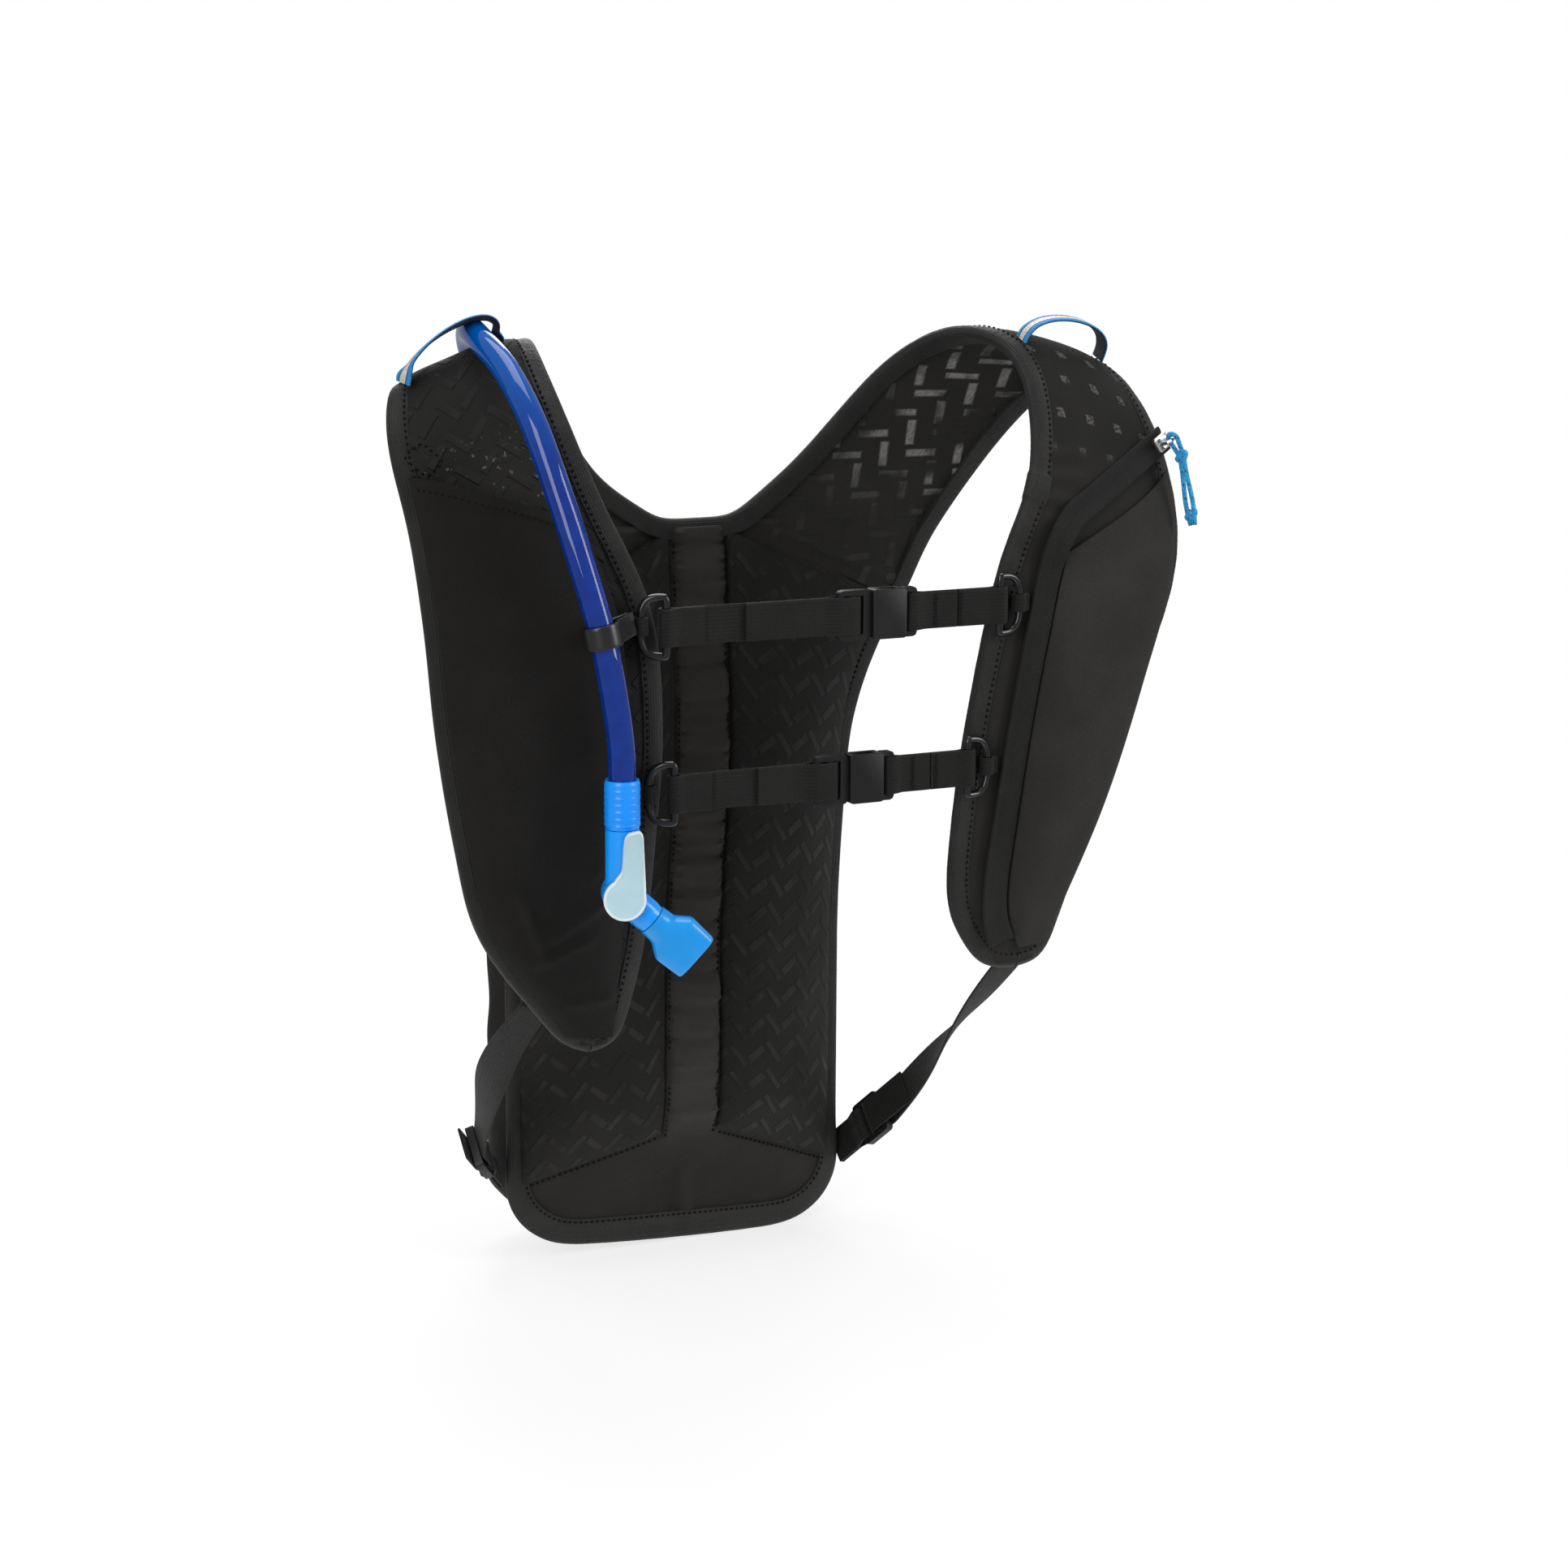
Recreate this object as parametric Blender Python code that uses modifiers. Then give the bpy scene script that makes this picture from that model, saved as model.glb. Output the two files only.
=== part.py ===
# Hydration vest pack: a padded back panel with a reservoir sleeve behind it, two shoulder straps
# with chest pockets, sternum and side straps, and a drink tube that ends in a bite valve.
# Metres, +Z up. The wearer faces -Y, the wearer's left is +X, and the origin lies midway
# between the undersides of the two shoulder straps.

import math

import bmesh
import bpy
import numpy as np
from mathutils import Matrix, Vector

MM = 0.001

# Clearance between pieces that touch, and under soft pieces that lie on a curved one
GAP = 0.3 * MM
SEAT = 0.7 * MM

# Back panel outline, heights measured from the shoulders
PANEL_HALF_WIDTH = 78 * MM
PANEL_BOTTOM = -383 * MM
CORNER_RADIUS = 45 * MM
ARMHOLE_HALF_WIDTH = 98 * MM
ARMHOLE_HEIGHT = -106 * MM
FLARE_START = -176 * MM
NECK_HALF_WIDTH = 18 * MM
NECK_HEIGHT = -70 * MM
SEAM_GAP = 0.8 * MM
PANEL_SWAY = -6.5 * MM
SWAY_START = -125 * MM
SWAY_END = -260 * MM

# Back panel depth: the middle stands towards the wearer like a lens
EDGE_DEPTH = 75 * MM
TOP_DEPTH = 67 * MM
LENS = 18 * MM
LENS_BOTTOM_SHARE = 0.4
LENS_RISE = 70 * MM
LENS_FADE = -190 * MM
PANEL_SHEET = 2 * MM
CHANNEL_WIDTH = 26 * MM

# Mesh pads on the panel
PAD_CROWN = 6.5 * MM
PAD_RIM = 3 * MM
PAD_MARGIN = 3 * MM
PAD_FOOT = -337 * MM
PAD_FOOT_FALL = 22 * MM

# Rear sleeve for the reservoir
SLEEVE_DEPTH = 47 * MM
SLEEVE_WALL = 1.5 * MM
SLEEVE_MOUTH_SHARE = 0.5
SLEEVE_SWELL = 12 * MM

# Shoulder straps: neck edge and arm edge at stations from the yoke seam to the chest end
STRAP_PAD = 7 * MM
STRAP_EDGE_SHARE = 0.62
STRAP_CROWN = 2 * MM
STRAP_STATIONS = {
    "left": [
        ((44, 61, -45), (113, 60, -73)),
        ((78, 40, -2), (134, 26, -24)),
        ((97, 8, 13), (152, 2, -2)),
        ((108, -22, 0), (164, -22, -20)),
        ((103, -44, -40), (172, -34, -56)),
        ((85, -52, -80), (170, -39, -88)),
        ((72, -54, -132), (156, -41, -128)),
        ((67, -50, -180), (141, -41, -174)),
        ((69, -44, -220), (124, -40, -218)),
        ((84, -40, -246), (112, -39, -243)),
    ],
    "right": [
        ((49, 61, -46), (113, 60, -73)),
        ((82, 40, -3), (134, 26, -24)),
        ((98, 8, 13), (152, 2, -2)),
        ((99, -20, -6), (157, -14, -22)),
        ((88, -36, -44), (157, -23, -56)),
        ((75, -50, -86), (155, -30, -94)),
        ((71, -52, -132), (152, -36, -132)),
        ((72, -47, -178), (146, -39, -176)),
        ((75, -42, -222), (136, -39, -214)),
        ((84, -40, -258), (106, -39, -256)),
    ],
}

# Binding tape, a rolled edge along every open hem
BINDING_RADIUS = 2.6 * MM

# Chest pockets
POCKET_SHEET = 1.2 * MM
STRETCH_ROOM = 8 * MM
ZIP_ROOM = 13 * MM
POCKET_INSET = 0.14

# Zip on the chest pocket of the wearer's left side
ZIP_WIDTH = 8 * MM
ZIP_THICK = 1.4 * MM
ZIP_LIFT = 4.4 * MM
SLIDER_LENGTH = 8 * MM
SLIDER_WIDTH = 6.5 * MM
SLIDER_HEIGHT = 3.2 * MM
SLIDER_START = 1 * MM
BAIL_WIRE = 1.6 * MM
BAIL_RISE = 6 * MM
BAIL_SINK = 0.5 * MM
PULL_CORD = 2.6 * MM
PULL_LENGTH = 33 * MM
PULL_KNOT = 6 * MM
PULL_FALL = (0.1, -0.2, -1)

# Webbing and its rings
WEB_WIDTH = 15 * MM
WEB_THICK = 1.2 * MM
WEB_SEWN = 16 * MM
RING_WIRE = 3 * MM
RING_PLAY = 0.5 * MM
RING_REACH = 10 * MM
RING_STAND = 1.5 * MM
RING_SEAT = 0.05
RING_TAB_WIDTH = 7 * MM
RING_TAB_LENGTH = 5 * MM

# Sternum straps
STERNUM_HEIGHT = {"upper": -92 * MM, "lower": -158 * MM}
STERNUM_MOUTH = {"upper": 17.7 * MM, "lower": 8.5 * MM}
STERNUM_TAIL = 45 * MM

# Side release buckle
BUCKLE_WIDTH = 20 * MM
SOCKET_THICK = 7 * MM
SOCKET_WALL = 1.4 * MM
SOCKET_END_WALL = 1.6 * MM
SOCKET_LOOP_THICK = 3.2 * MM
PLUG_THICK = 3.6 * MM
PLUG_BASE = 3.4 * MM
BUCKLE_BAR = 2.4 * MM
BUCKLE_END_BAR = 2 * MM
BUCKLE_SLOT = 3.2 * MM
PRONG_LENGTH = 13 * MM
PRONG_WIDTH = 3 * MM
TONGUE_WIDTH = 3.4 * MM

# Side straps and their ladder locks
LOCK_HEIGHT = {"left": -357 * MM, "right": -347 * MM}
LOCK_SPLAY = {"left": 0.3, "right": 0.5}
LOCK_STANDOFF = 13 * MM
LOCK_THICK = 3.6 * MM
LOCK_REAR_SLOT = 5.6 * MM
LOCK_RAIL = 2.2 * MM
SIDE_STRAP_TAIL = 20 * MM
SIDE_STRAP_SEAT = {"left": (9.6, 0.5), "right": (9.35, 0.72)}
SIDE_STRAP_SEWN = 14 * MM

# Tube loops across the shoulders
LOOP_WEB_WIDTH = 10 * MM
LOOP_RISE = {"left": 14 * MM, "right": 18 * MM}
LOOP_LEAN = {"left": 1.8, "right": 1}
LOOP_STATION = 3.35
LOOP_ARM_SHARE = 0.93
LOOP_NECK_SHARE = 0.22

# Drink tube, on the wearer's right side
TUBE_DIAMETER = 10.6 * MM
TUBE_STEP = 2 * TUBE_DIAMETER
TUBE_ROUTE = [
    (-30, 87, -294), (-34, 88, -250), (-42, 87, -190), (-48, 83, -135), (-56, 80, -96),
    (-73, 75, -60), (-96, 58, -19), (-112, 37, 8), (-121, 15, 18), (-124, -7, 15),
    (-122, -28, 5), (-119, -48, -14), (-113, -61, -43), (-107, -67, -68), (-101, -70, -92),
    (-97, -71.5, -115), (-94.5, -72, -134), (-94, -72, -147), (-94, -72, -159),
]
CLIP_THICK = 1.6 * MM
CLIP_WIDTH = 9 * MM
CLIP_DROP = -92 * MM

# Shut-off valve at the end of the tube
VALVE_CENTRE = (-94, -72, -193)
VALVE_YAW = math.radians(-17.5)
SLEEVE_RADIUS = 6.9 * MM
SLEEVE_RIB = 0.5 * MM
SLEEVE_RIBS = 4
SLEEVE_LENGTH = 19 * MM
VALVE_NECK_RADIUS = 6.4 * MM
VALVE_NECK_TOP = 26 * MM
VALVE_HOUSING_RADIUS = 8 * MM
VALVE_HALF_DEPTH = 7.2 * MM
VALVE_CORE_RADIUS = 4.6 * MM
LEVER_DISC_RADIUS = 7.9 * MM
LEVER_THICK = 2.6 * MM
LEVER_LENGTH = 24 * MM
LEVER_TIP_WIDTH = 7 * MM
OUTLET_FALL = math.radians(42)
OUTLET_RADIUS = 5.8 * MM
OUTLET_LENGTH = 15 * MM
BITE_LENGTH = 23 * MM
BITE_WIDTH = 19.5 * MM
BITE_THICK = 11 * MM

# Reservoir and its fittings, inside the sleeve
BLADDER_HALF_WIDTH = 62 * MM
BLADDER_BOTTOM = -356 * MM
BLADDER_TOP = -122 * MM
BLADDER_THICK = 20 * MM
BLADDER_RIM = 3 * MM
CAP_HEIGHT = -172 * MM
CAP_SEAT = 73 * MM
COLLAR_FLANGE_RADIUS = 34 * MM
COLLAR_FLANGE = 2.5 * MM
COLLAR_RADIUS = 29 * MM
COLLAR_WALL = 2.5 * MM
COLLAR_RISE = 10 * MM
WELL_DEPTH = 8 * MM
CAP_WALL = 2.4 * MM
CAP_STEPS = 20
GASKET_THICK = 1.5 * MM
CAP_GRIP = 4 * MM
PORT_PLACE = (-30, -332)
PORT_SEAT = 71 * MM
PORT_STAND = 6 * MM
PORT_FLANGE_RADIUS = 11 * MM
PORT_FLANGE = 2.5 * MM
PORT_RADIUS = 7.5 * MM
PORT_RISE = 18 * MM
CONNECTOR_LENGTH = 19 * MM
CONNECTOR_RADIUS = 7 * MM
BUTTON_RADIUS = 3.4 * MM
BUTTON_STAND = 2.2 * MM
BUTTON_DEPTH = 3 * MM
BUTTON_TRAVEL = 1.5 * MM
HANGER_WIDTH = 20 * MM

# Colours and roughness of the materials
FINISHES = {
    "black_fabric": ((0.012, 0.012, 0.010), 0.85),
    "mesh_fabric": ((0.016, 0.016, 0.014), 0.7),
    "binding_tape": ((0.020, 0.019, 0.017), 0.75),
    "webbing": ((0.010, 0.010, 0.009), 0.7),
    "black_plastic": ((0.006, 0.006, 0.006), 0.25),
    "loop_webbing": ((0.010, 0.220, 0.520), 0.55),
    "tube_blue": ((0.005, 0.050, 0.420), 0.08),
    "valve_blue": ((0.000, 0.240, 0.850), 0.25),
    "bite_blue": ((0.000, 0.260, 0.900), 0.35),
    "lever_grey": ((0.520, 0.700, 0.740), 0.3),
    "zip_metal": ((0.550, 0.550, 0.540), 0.3),
    "cord_blue": ((0.010, 0.330, 0.720), 0.6),
    "clear_film": ((0.450, 0.600, 0.720), 0.15),
    "white_plastic": ((0.750, 0.770, 0.780), 0.35),
    "gasket_rubber": ((0.080, 0.080, 0.085), 0.6),
}
SIDES = {"left": 1, "right": -1}

for old in list(bpy.data.objects):
    bpy.data.objects.remove(old, do_unlink=True)

parts = bpy.data.collections.new("hydration_pack")
cutters = bpy.data.collections.new("cutters")
bpy.context.scene.collection.children.link(parts)
bpy.context.scene.collection.children.link(cutters)


# Materials and objects


def make_material(name):
    colour, roughness = FINISHES[name]
    material = bpy.data.materials.get(name) or bpy.data.materials.new(name)
    material.use_nodes = True
    shader = material.node_tree.nodes["Principled BSDF"]
    shader.inputs["Base Color"].default_value = (*colour, 1)
    shader.inputs["Roughness"].default_value = roughness
    shader.inputs["Metallic"].default_value = 1 if name == "zip_metal" else 0
    return material


def add_object(name, data, finish, collection=parts):
    item = bpy.data.objects.new(name, data)
    collection.objects.link(item)
    if finish:
        data.materials.append(make_material(finish))
    else:
        item.hide_render = True
        item.display_type = "WIRE"
    return item


def mesh_object(name, bm, finish, collection=parts, smooth_angle=40):
    bmesh.ops.recalc_face_normals(bm, faces=bm.faces[:])
    if bm.calc_volume(signed=True) < 0:
        bmesh.ops.reverse_faces(bm, faces=bm.faces[:])
    mesh = bpy.data.meshes.new(name)
    bm.to_mesh(mesh)
    bm.free()
    mesh.shade_smooth()
    mesh.set_sharp_from_angle(angle=math.radians(smooth_angle))
    return add_object(name, mesh, finish, collection)


def curve_to_mesh(item):
    # A curve becomes a mesh with welded caps, in the same place
    graph = bpy.context.evaluated_depsgraph_get()
    graph.update()
    mesh = bpy.data.meshes.new_from_object(item.evaluated_get(graph))
    bm = bmesh.new()
    bm.from_mesh(mesh)
    bmesh.ops.remove_doubles(bm, verts=bm.verts[:], dist=0.01 * MM)
    bmesh.ops.recalc_face_normals(bm, faces=bm.faces[:])
    bm.to_mesh(mesh)
    bm.free()
    name = item.name
    home = item.users_collection[0]
    place = item.matrix_world.copy()
    bpy.data.objects.remove(item, do_unlink=True)
    made = bpy.data.objects.new(name, mesh)
    made.matrix_world = place
    home.objects.link(made)
    return made


def boolean(item, tool, operation):
    modifier = item.modifiers.new(operation.lower(), "BOOLEAN")
    modifier.object = tool
    modifier.operation = operation
    modifier.solver = "EXACT"


def bevel(item, width, segments=2):
    modifier = item.modifiers.new("rounded edges", "BEVEL")
    modifier.width = width
    modifier.segments = segments
    modifier.limit_method = "ANGLE"


# Shapes


def mm(*xyz):
    return np.array(xyz, dtype=float) * MM


def unit(vector):
    return vector / np.linalg.norm(vector)


def smooth(share):
    share = min(max(share, 0.0), 1.0)
    return share * share * (3 - 2 * share)


def through(points, t):
    # Smooth curve through the points, t counted in points
    last = len(points) - 1
    i = min(max(int(math.floor(t)), 0), last - 1)
    f = t - i
    p1, p2 = points[i], points[i + 1]
    p0 = points[i - 1] if i > 0 else 2 * p1 - p2
    p3 = points[i + 2] if i + 2 <= last else 2 * p2 - p1
    curve = (p2 - p0) * f + (2 * p0 - 5 * p1 + 4 * p2 - p3) * f**2 + (3 * p1 - p0 - 3 * p2 + p3) * f**3
    return p1 + curve / 2


def slab(name, columns, rows, lower, upper, finish, collection=parts):
    # Closed solid between two sheets, each given over the unit square
    bm = bmesh.new()
    bmesh.ops.create_grid(bm, x_segments=columns, y_segments=rows, size=0.5)
    sheet = bm.verts[:]
    grown = bmesh.ops.extrude_face_region(bm, geom=bm.faces[:] + bm.edges[:], use_keep_orig=True)
    lid = [v for v in grown["geom"] if isinstance(v, bmesh.types.BMVert)]
    for verts, place in ((sheet, lower), (lid, upper)):
        for vert in verts:
            vert.co = place(vert.co.x + 0.5, vert.co.y + 0.5)
    return mesh_object(name, bm, finish, collection)


def ribbon(name, path, across, width, thickness, finish):
    # Webbing along a path, with its width along one direction or one per point
    path = np.array(path)
    sides = np.broadcast_to(np.array(across, dtype=float), path.shape)
    ahead = np.gradient(path, axis=0)
    normals = np.cross(ahead, sides)
    normals /= np.linalg.norm(normals, axis=1, keepdims=True)
    last = len(path) - 1

    def sheet(lift):
        def place(u, v):
            i = int(round(v * last))
            return path[i] + sides[i] * width * (u - 0.5) + normals[i] * lift

        return place

    return slab(name, 1, last, sheet(-thickness / 2), sheet(thickness / 2), finish)


def tube(name, points, radius, finish, closed=False, resolution=1, collection=parts):
    curve = bpy.data.curves.new(name, "CURVE")
    curve.dimensions = "3D"
    curve.bevel_depth = radius
    curve.bevel_resolution = resolution
    curve.use_fill_caps = not closed
    spline = curve.splines.new("POLY")
    spline.points.add(len(points) - 1)
    for point, place in zip(spline.points, points):
        point.co = (*place, 1)
    spline.use_cyclic_u = closed
    return add_object(name, curve, finish, collection)


def plate(name, outlines, thickness, finish, collection=parts):
    # Flat outline with holes in the local x and z plane, thickness along local y
    curve = bpy.data.curves.new(name, "CURVE")
    curve.dimensions = "2D"
    curve.fill_mode = "BOTH"
    curve.extrude = thickness / 2
    for outline in outlines:
        spline = curve.splines.new("POLY")
        spline.points.add(len(outline) - 1)
        for point, (x, z) in zip(spline.points, outline):
            point.co = (x, z, 0, 1)
        spline.use_cyclic_u = True
    item = curve_to_mesh(add_object(name, curve, None, collection))
    item.data.transform(Matrix.Rotation(math.radians(90), 4, "X"))
    item.data.materials.clear()
    if finish:
        item.data.materials.append(make_material(finish))
    else:
        item.hide_render = True
        item.display_type = "WIRE"
    return item


def cylinder(name, start, end, radius, finish, collection=parts, segments=20, end_radius=None):
    # Round bar or cone between two points
    start, end = Vector(start), Vector(end)
    bm = bmesh.new()
    bmesh.ops.create_cone(
        bm, cap_ends=True, segments=segments, depth=(end - start).length,
        radius1=radius, radius2=radius if end_radius is None else end_radius,
    )
    turn = Vector((0, 0, 1)).rotation_difference(end - start).to_matrix().to_4x4()
    bmesh.ops.transform(bm, matrix=Matrix.Translation((start + end) / 2) @ turn, verts=bm.verts[:])
    return mesh_object(name, bm, finish, collection)


def box(name, low, high, finish, collection=parts):
    low, high = Vector(low), Vector(high)
    bm = bmesh.new()
    bmesh.ops.create_cube(bm, size=1)
    bmesh.ops.scale(bm, vec=high - low, verts=bm.verts[:])
    bmesh.ops.translate(bm, vec=(low + high) / 2, verts=bm.verts[:])
    return mesh_object(name, bm, finish, collection)


def turned(name, profile, finish, steps=24, collection=parts):
    # Profile of radius and height pairs, listed from its top down, turned about local z
    mesh = bpy.data.meshes.new(name)
    bm = bmesh.new()
    verts = [bm.verts.new((radius, 0, height)) for radius, height in profile]
    for upper, lower in zip(verts, verts[1:]):
        bm.edges.new((upper, lower))
    bm.to_mesh(mesh)
    bm.free()
    item = add_object(name, mesh, finish, collection)
    screw = item.modifiers.new("turned", "SCREW")
    screw.steps = steps
    screw.render_steps = steps
    screw.use_merge_vertices = True
    screw.merge_threshold = 0.01 * MM
    screw.use_smooth_shade = True
    return item


def arc(centre, radius, first, last, steps):
    turns = np.radians(np.linspace(first, last, steps))
    return [(centre[0] + radius * math.cos(a), centre[1] + radius * math.sin(a)) for a in turns]


def rounded_rectangle(low, high, radius, steps=4):
    (x0, z0), (x1, z1) = low, high
    corners = ((x1 - radius, z1 - radius, 0), (x0 + radius, z1 - radius, 90),
               (x0 + radius, z0 + radius, 180), (x1 - radius, z0 + radius, 270))
    outline = []
    for x, z, start in corners:
        outline += arc((x, z), radius, start, start + 90, steps)
    return outline


def rectangle(low, high):
    return [(low[0], low[1]), (high[0], low[1]), (high[0], high[1]), (low[0], high[1])]


# Back panel surface


def half_width(z):
    # Round bottom corners, straight sides, then a flare to the armholes
    rise = z - PANEL_BOTTOM
    if rise < CORNER_RADIUS:
        inset = CORNER_RADIUS - math.sqrt(max(CORNER_RADIUS**2 - (CORNER_RADIUS - rise) ** 2, 0))
        return PANEL_HALF_WIDTH - inset
    share = min(max((z - FLARE_START) / (ARMHOLE_HEIGHT - FLARE_START), 0), 1)
    return PANEL_HALF_WIDTH + (ARMHOLE_HALF_WIDTH - PANEL_HALF_WIDTH) * share**2


def seam_height(x):
    # Yoke seam: level at the neck, then falling in a straight line to the armhole
    run = max(abs(x) - NECK_HALF_WIDTH, 0) / (ARMHOLE_HALF_WIDTH - NECK_HALF_WIDTH)
    return NECK_HEIGHT + (ARMHOLE_HEIGHT - NECK_HEIGHT) * min(run, 1)


CORNER_ROWS = 0.25
PANEL_ROWS = 18
PANEL_COLUMNS = 12
SLEEVE_ROWS = PANEL_ROWS - 1


def panel_place(u, v):
    # x and z on the panel for u from -1 to 1 across and v from 0 to 1 upwards
    foot = PANEL_BOTTOM + CORNER_RADIUS
    if v < CORNER_ROWS:
        z = PANEL_BOTTOM + CORNER_RADIUS * (1 - math.cos(v / CORNER_ROWS * math.pi / 2))
        return u * half_width(z), z
    climb = (v - CORNER_ROWS) / (1 - CORNER_ROWS)
    side = foot + (ARMHOLE_HEIGHT - foot) * climb
    top = seam_height(u * ARMHOLE_HALF_WIDTH) - SEAM_GAP
    return u * half_width(side), foot + (top - foot) * climb


def front_depth(x, z):
    # y of the base fabric's front: flat along the channel, curving back to the edges
    rise = LENS_BOTTOM_SHARE + (1 - LENS_BOTTOM_SHARE) * smooth((z - PANEL_BOTTOM) / LENS_RISE)
    fade = smooth((z - LENS_FADE) / (NECK_HEIGHT - LENS_FADE))
    edge = EDGE_DEPTH + (TOP_DEPTH - EDGE_DEPTH) * fade
    flat = CHANNEL_WIDTH / 2
    side = min(max(abs(x) - flat, 0) / (half_width(z) - flat), 1)
    return edge - LENS * (1 - side**2) * rise * (1 - fade)


def sway(z):
    # The lower pack hangs a little to the wearer's right
    return PANEL_SWAY * smooth((SWAY_START - z) / (SWAY_START - SWAY_END))


def behind_panel(x, z):
    return front_depth(x, z) + PANEL_SHEET + GAP


def make_panel():
    def sheet(lift):
        def place(u, v):
            x, z = panel_place(2 * u - 1, v)
            return x + sway(z), front_depth(x, z) + lift, z

        return place

    slab("back_panel", PANEL_COLUMNS, PANEL_ROWS, sheet(0), sheet(PANEL_SHEET), "black_fabric")


def make_pad(side):
    sign = SIDES[side]
    inner = CHANNEL_WIDTH / 2 + GAP
    outer_foot = PAD_FOOT - PAD_FOOT_FALL
    top_drop = SEAM_GAP + PAD_MARGIN

    def sheet(crowned):
        def place(a, b):
            edge_height = outer_foot + (ARMHOLE_HEIGHT - top_drop - outer_foot) * b
            x = inner + (half_width(edge_height) - PAD_MARGIN - inner) * a
            low = PAD_FOOT - PAD_FOOT_FALL * a
            z = low + (seam_height(x) - top_drop - low) * b
            crown = (1 - (2 * a - 1) ** 4) * (1 - (2 * b - 1) ** 8)
            lift = (PAD_RIM + (PAD_CROWN - PAD_RIM) * crown) * crowned
            return sign * x + sway(z), front_depth(x, z) - SEAT - lift, z

        return place

    slab(f"back_pad_{side}", 5, 16, sheet(0), sheet(1), "mesh_fabric")


def make_sleeve():
    # Round-backed section with walls that leave the panel's edge square, open along the top hem
    top = SLEEVE_ROWS / PANEL_ROWS

    def sheet(outer):
        def place(u, v):
            u = 2 * u - 1
            v = v * top
            flat_x, z = panel_place(u, v)
            grown = smooth(v / 0.22)
            drop = (1 - SLEEVE_MOUTH_SHARE) * smooth((v - 0.65) / (top - 0.65))
            turn = u * math.pi / 2
            rim = abs(panel_place(1, v)[0]) - SLEEVE_WALL
            round_x = rim * math.sin(turn) + SLEEVE_SWELL * math.sin(2 * turn)
            x = flat_x + (round_x - flat_x) * grown
            bulge = SLEEVE_DEPTH * max(math.cos(turn), 0) ** 0.8 * grown * (1 - drop)
            x += SLEEVE_WALL * math.sin(turn) * grown * outer
            return x + sway(z), behind_panel(flat_x, z) + bulge + SLEEVE_WALL * outer, z

        return place

    slab("reservoir_sleeve", PANEL_COLUMNS, SLEEVE_ROWS, sheet(0), sheet(1), "black_fabric")


# Shoulder strap surface

NECK_EDGE = {}
ARM_EDGE = {}
for strap_side, stations in STRAP_STATIONS.items():
    first_neck = np.array((NECK_HALF_WIDTH, TOP_DEPTH + PANEL_SHEET / 2, NECK_HEIGHT))
    first_arm = np.array((ARMHOLE_HALF_WIDTH, TOP_DEPTH + PANEL_SHEET / 2, ARMHOLE_HEIGHT))
    NECK_EDGE[strap_side] = [first_neck] + [mm(*neck) for neck, _ in stations]
    ARM_EDGE[strap_side] = [first_arm] + [mm(*arm) for _, arm in stations]
STRAP_END = len(STRAP_STATIONS["left"])
STRAP_TOP = 3
STRAP_ROWS = 3


def strap_frame(side, t, s):
    # Point on the strap's middle surface, then the directions along, across and outwards
    necks, arms = NECK_EDGE[side], ARM_EDGE[side]
    neck, arm = through(necks, t), through(arms, t)
    step = 0.05
    ahead = through(necks, t + step) + through(arms, t + step)
    behind = through(necks, t - step) + through(arms, t - step)
    across = unit(arm - neck)
    outwards = unit(np.cross(ahead - behind, across))
    along = np.cross(across, outwards)
    point = neck + (arm - neck) * s + outwards * STRAP_CROWN * (1 - (2 * s - 1) ** 2)
    flip = np.array((SIDES[side], 1, 1))
    return point * flip, along * flip, across * flip, outwards * flip


def strap_half(s):
    full = STRAP_EDGE_SHARE + (1 - STRAP_EDGE_SHARE) * (1 - (2 * s - 1) ** 4)
    return STRAP_PAD / 2 * full


def on_strap(side, t, s, lift):
    # Point at a height above the strap's outer face
    point, _, _, outwards = strap_frame(side, t, s)
    return point + outwards * (strap_half(s) + lift)


def station_at(side, z, s):
    # Station on the chest where the strap's outer face reaches height z
    low, high = STRAP_TOP, STRAP_END
    for _ in range(40):
        middle = (low + high) / 2
        if on_strap(side, middle, s, 0)[2] > z:
            low = middle
        else:
            high = middle
    return low


def make_strap(side):
    def sheet(face):
        def place(u, v):
            point, _, _, outwards = strap_frame(side, v * STRAP_END, u)
            return point + outwards * strap_half(u) * face

        return place

    slab(f"shoulder_strap_{side}", 4, STRAP_ROWS * STRAP_END, sheet(-1), sheet(1), "mesh_fabric")


# Binding tape


def strap_hem(side, edge, offset):
    # Bead centres along one edge of a strap, square to that edge, from the yoke seam to the chest end
    beads = []
    step = 0.05
    for t in np.linspace(0, STRAP_END, STRAP_ROWS * STRAP_END + 1):
        point, _, across, _ = strap_frame(side, t, edge)
        ahead = unit(strap_frame(side, t + step, edge)[0] - strap_frame(side, t - step, edge)[0])
        away = unit(across - ahead * np.dot(across, ahead)) * (1 if edge else -1)
        if edge == 0 and t == 0:
            # The first bead sits in the corner between the neckline and the strap
            up = np.array((0, 0, 1.0))
            away = (away + up) / (1 + np.dot(away, up))
        beads.append(point + away * offset)
    return beads


def panel_hem(offset):
    # Bead centres down the panel's left side and round its corner to the middle of the bottom
    heights = [k / PANEL_ROWS for k in range(PANEL_ROWS - 1, -1, -1)]
    outline = np.array([panel_place(1, v) for v in heights] + [(0, PANEL_BOTTOM)])
    ahead = np.gradient(outline, axis=0)
    ahead[-1] = (-1, 0)
    ahead /= np.linalg.norm(ahead, axis=1, keepdims=True)
    beads = []
    for (x, z), (dx, dz) in zip(outline, ahead):
        depth = front_depth(x, z) + PANEL_SHEET / 2
        beads.append(np.array((x - dz * offset, depth, z + dx * offset)))
    return beads


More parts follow.
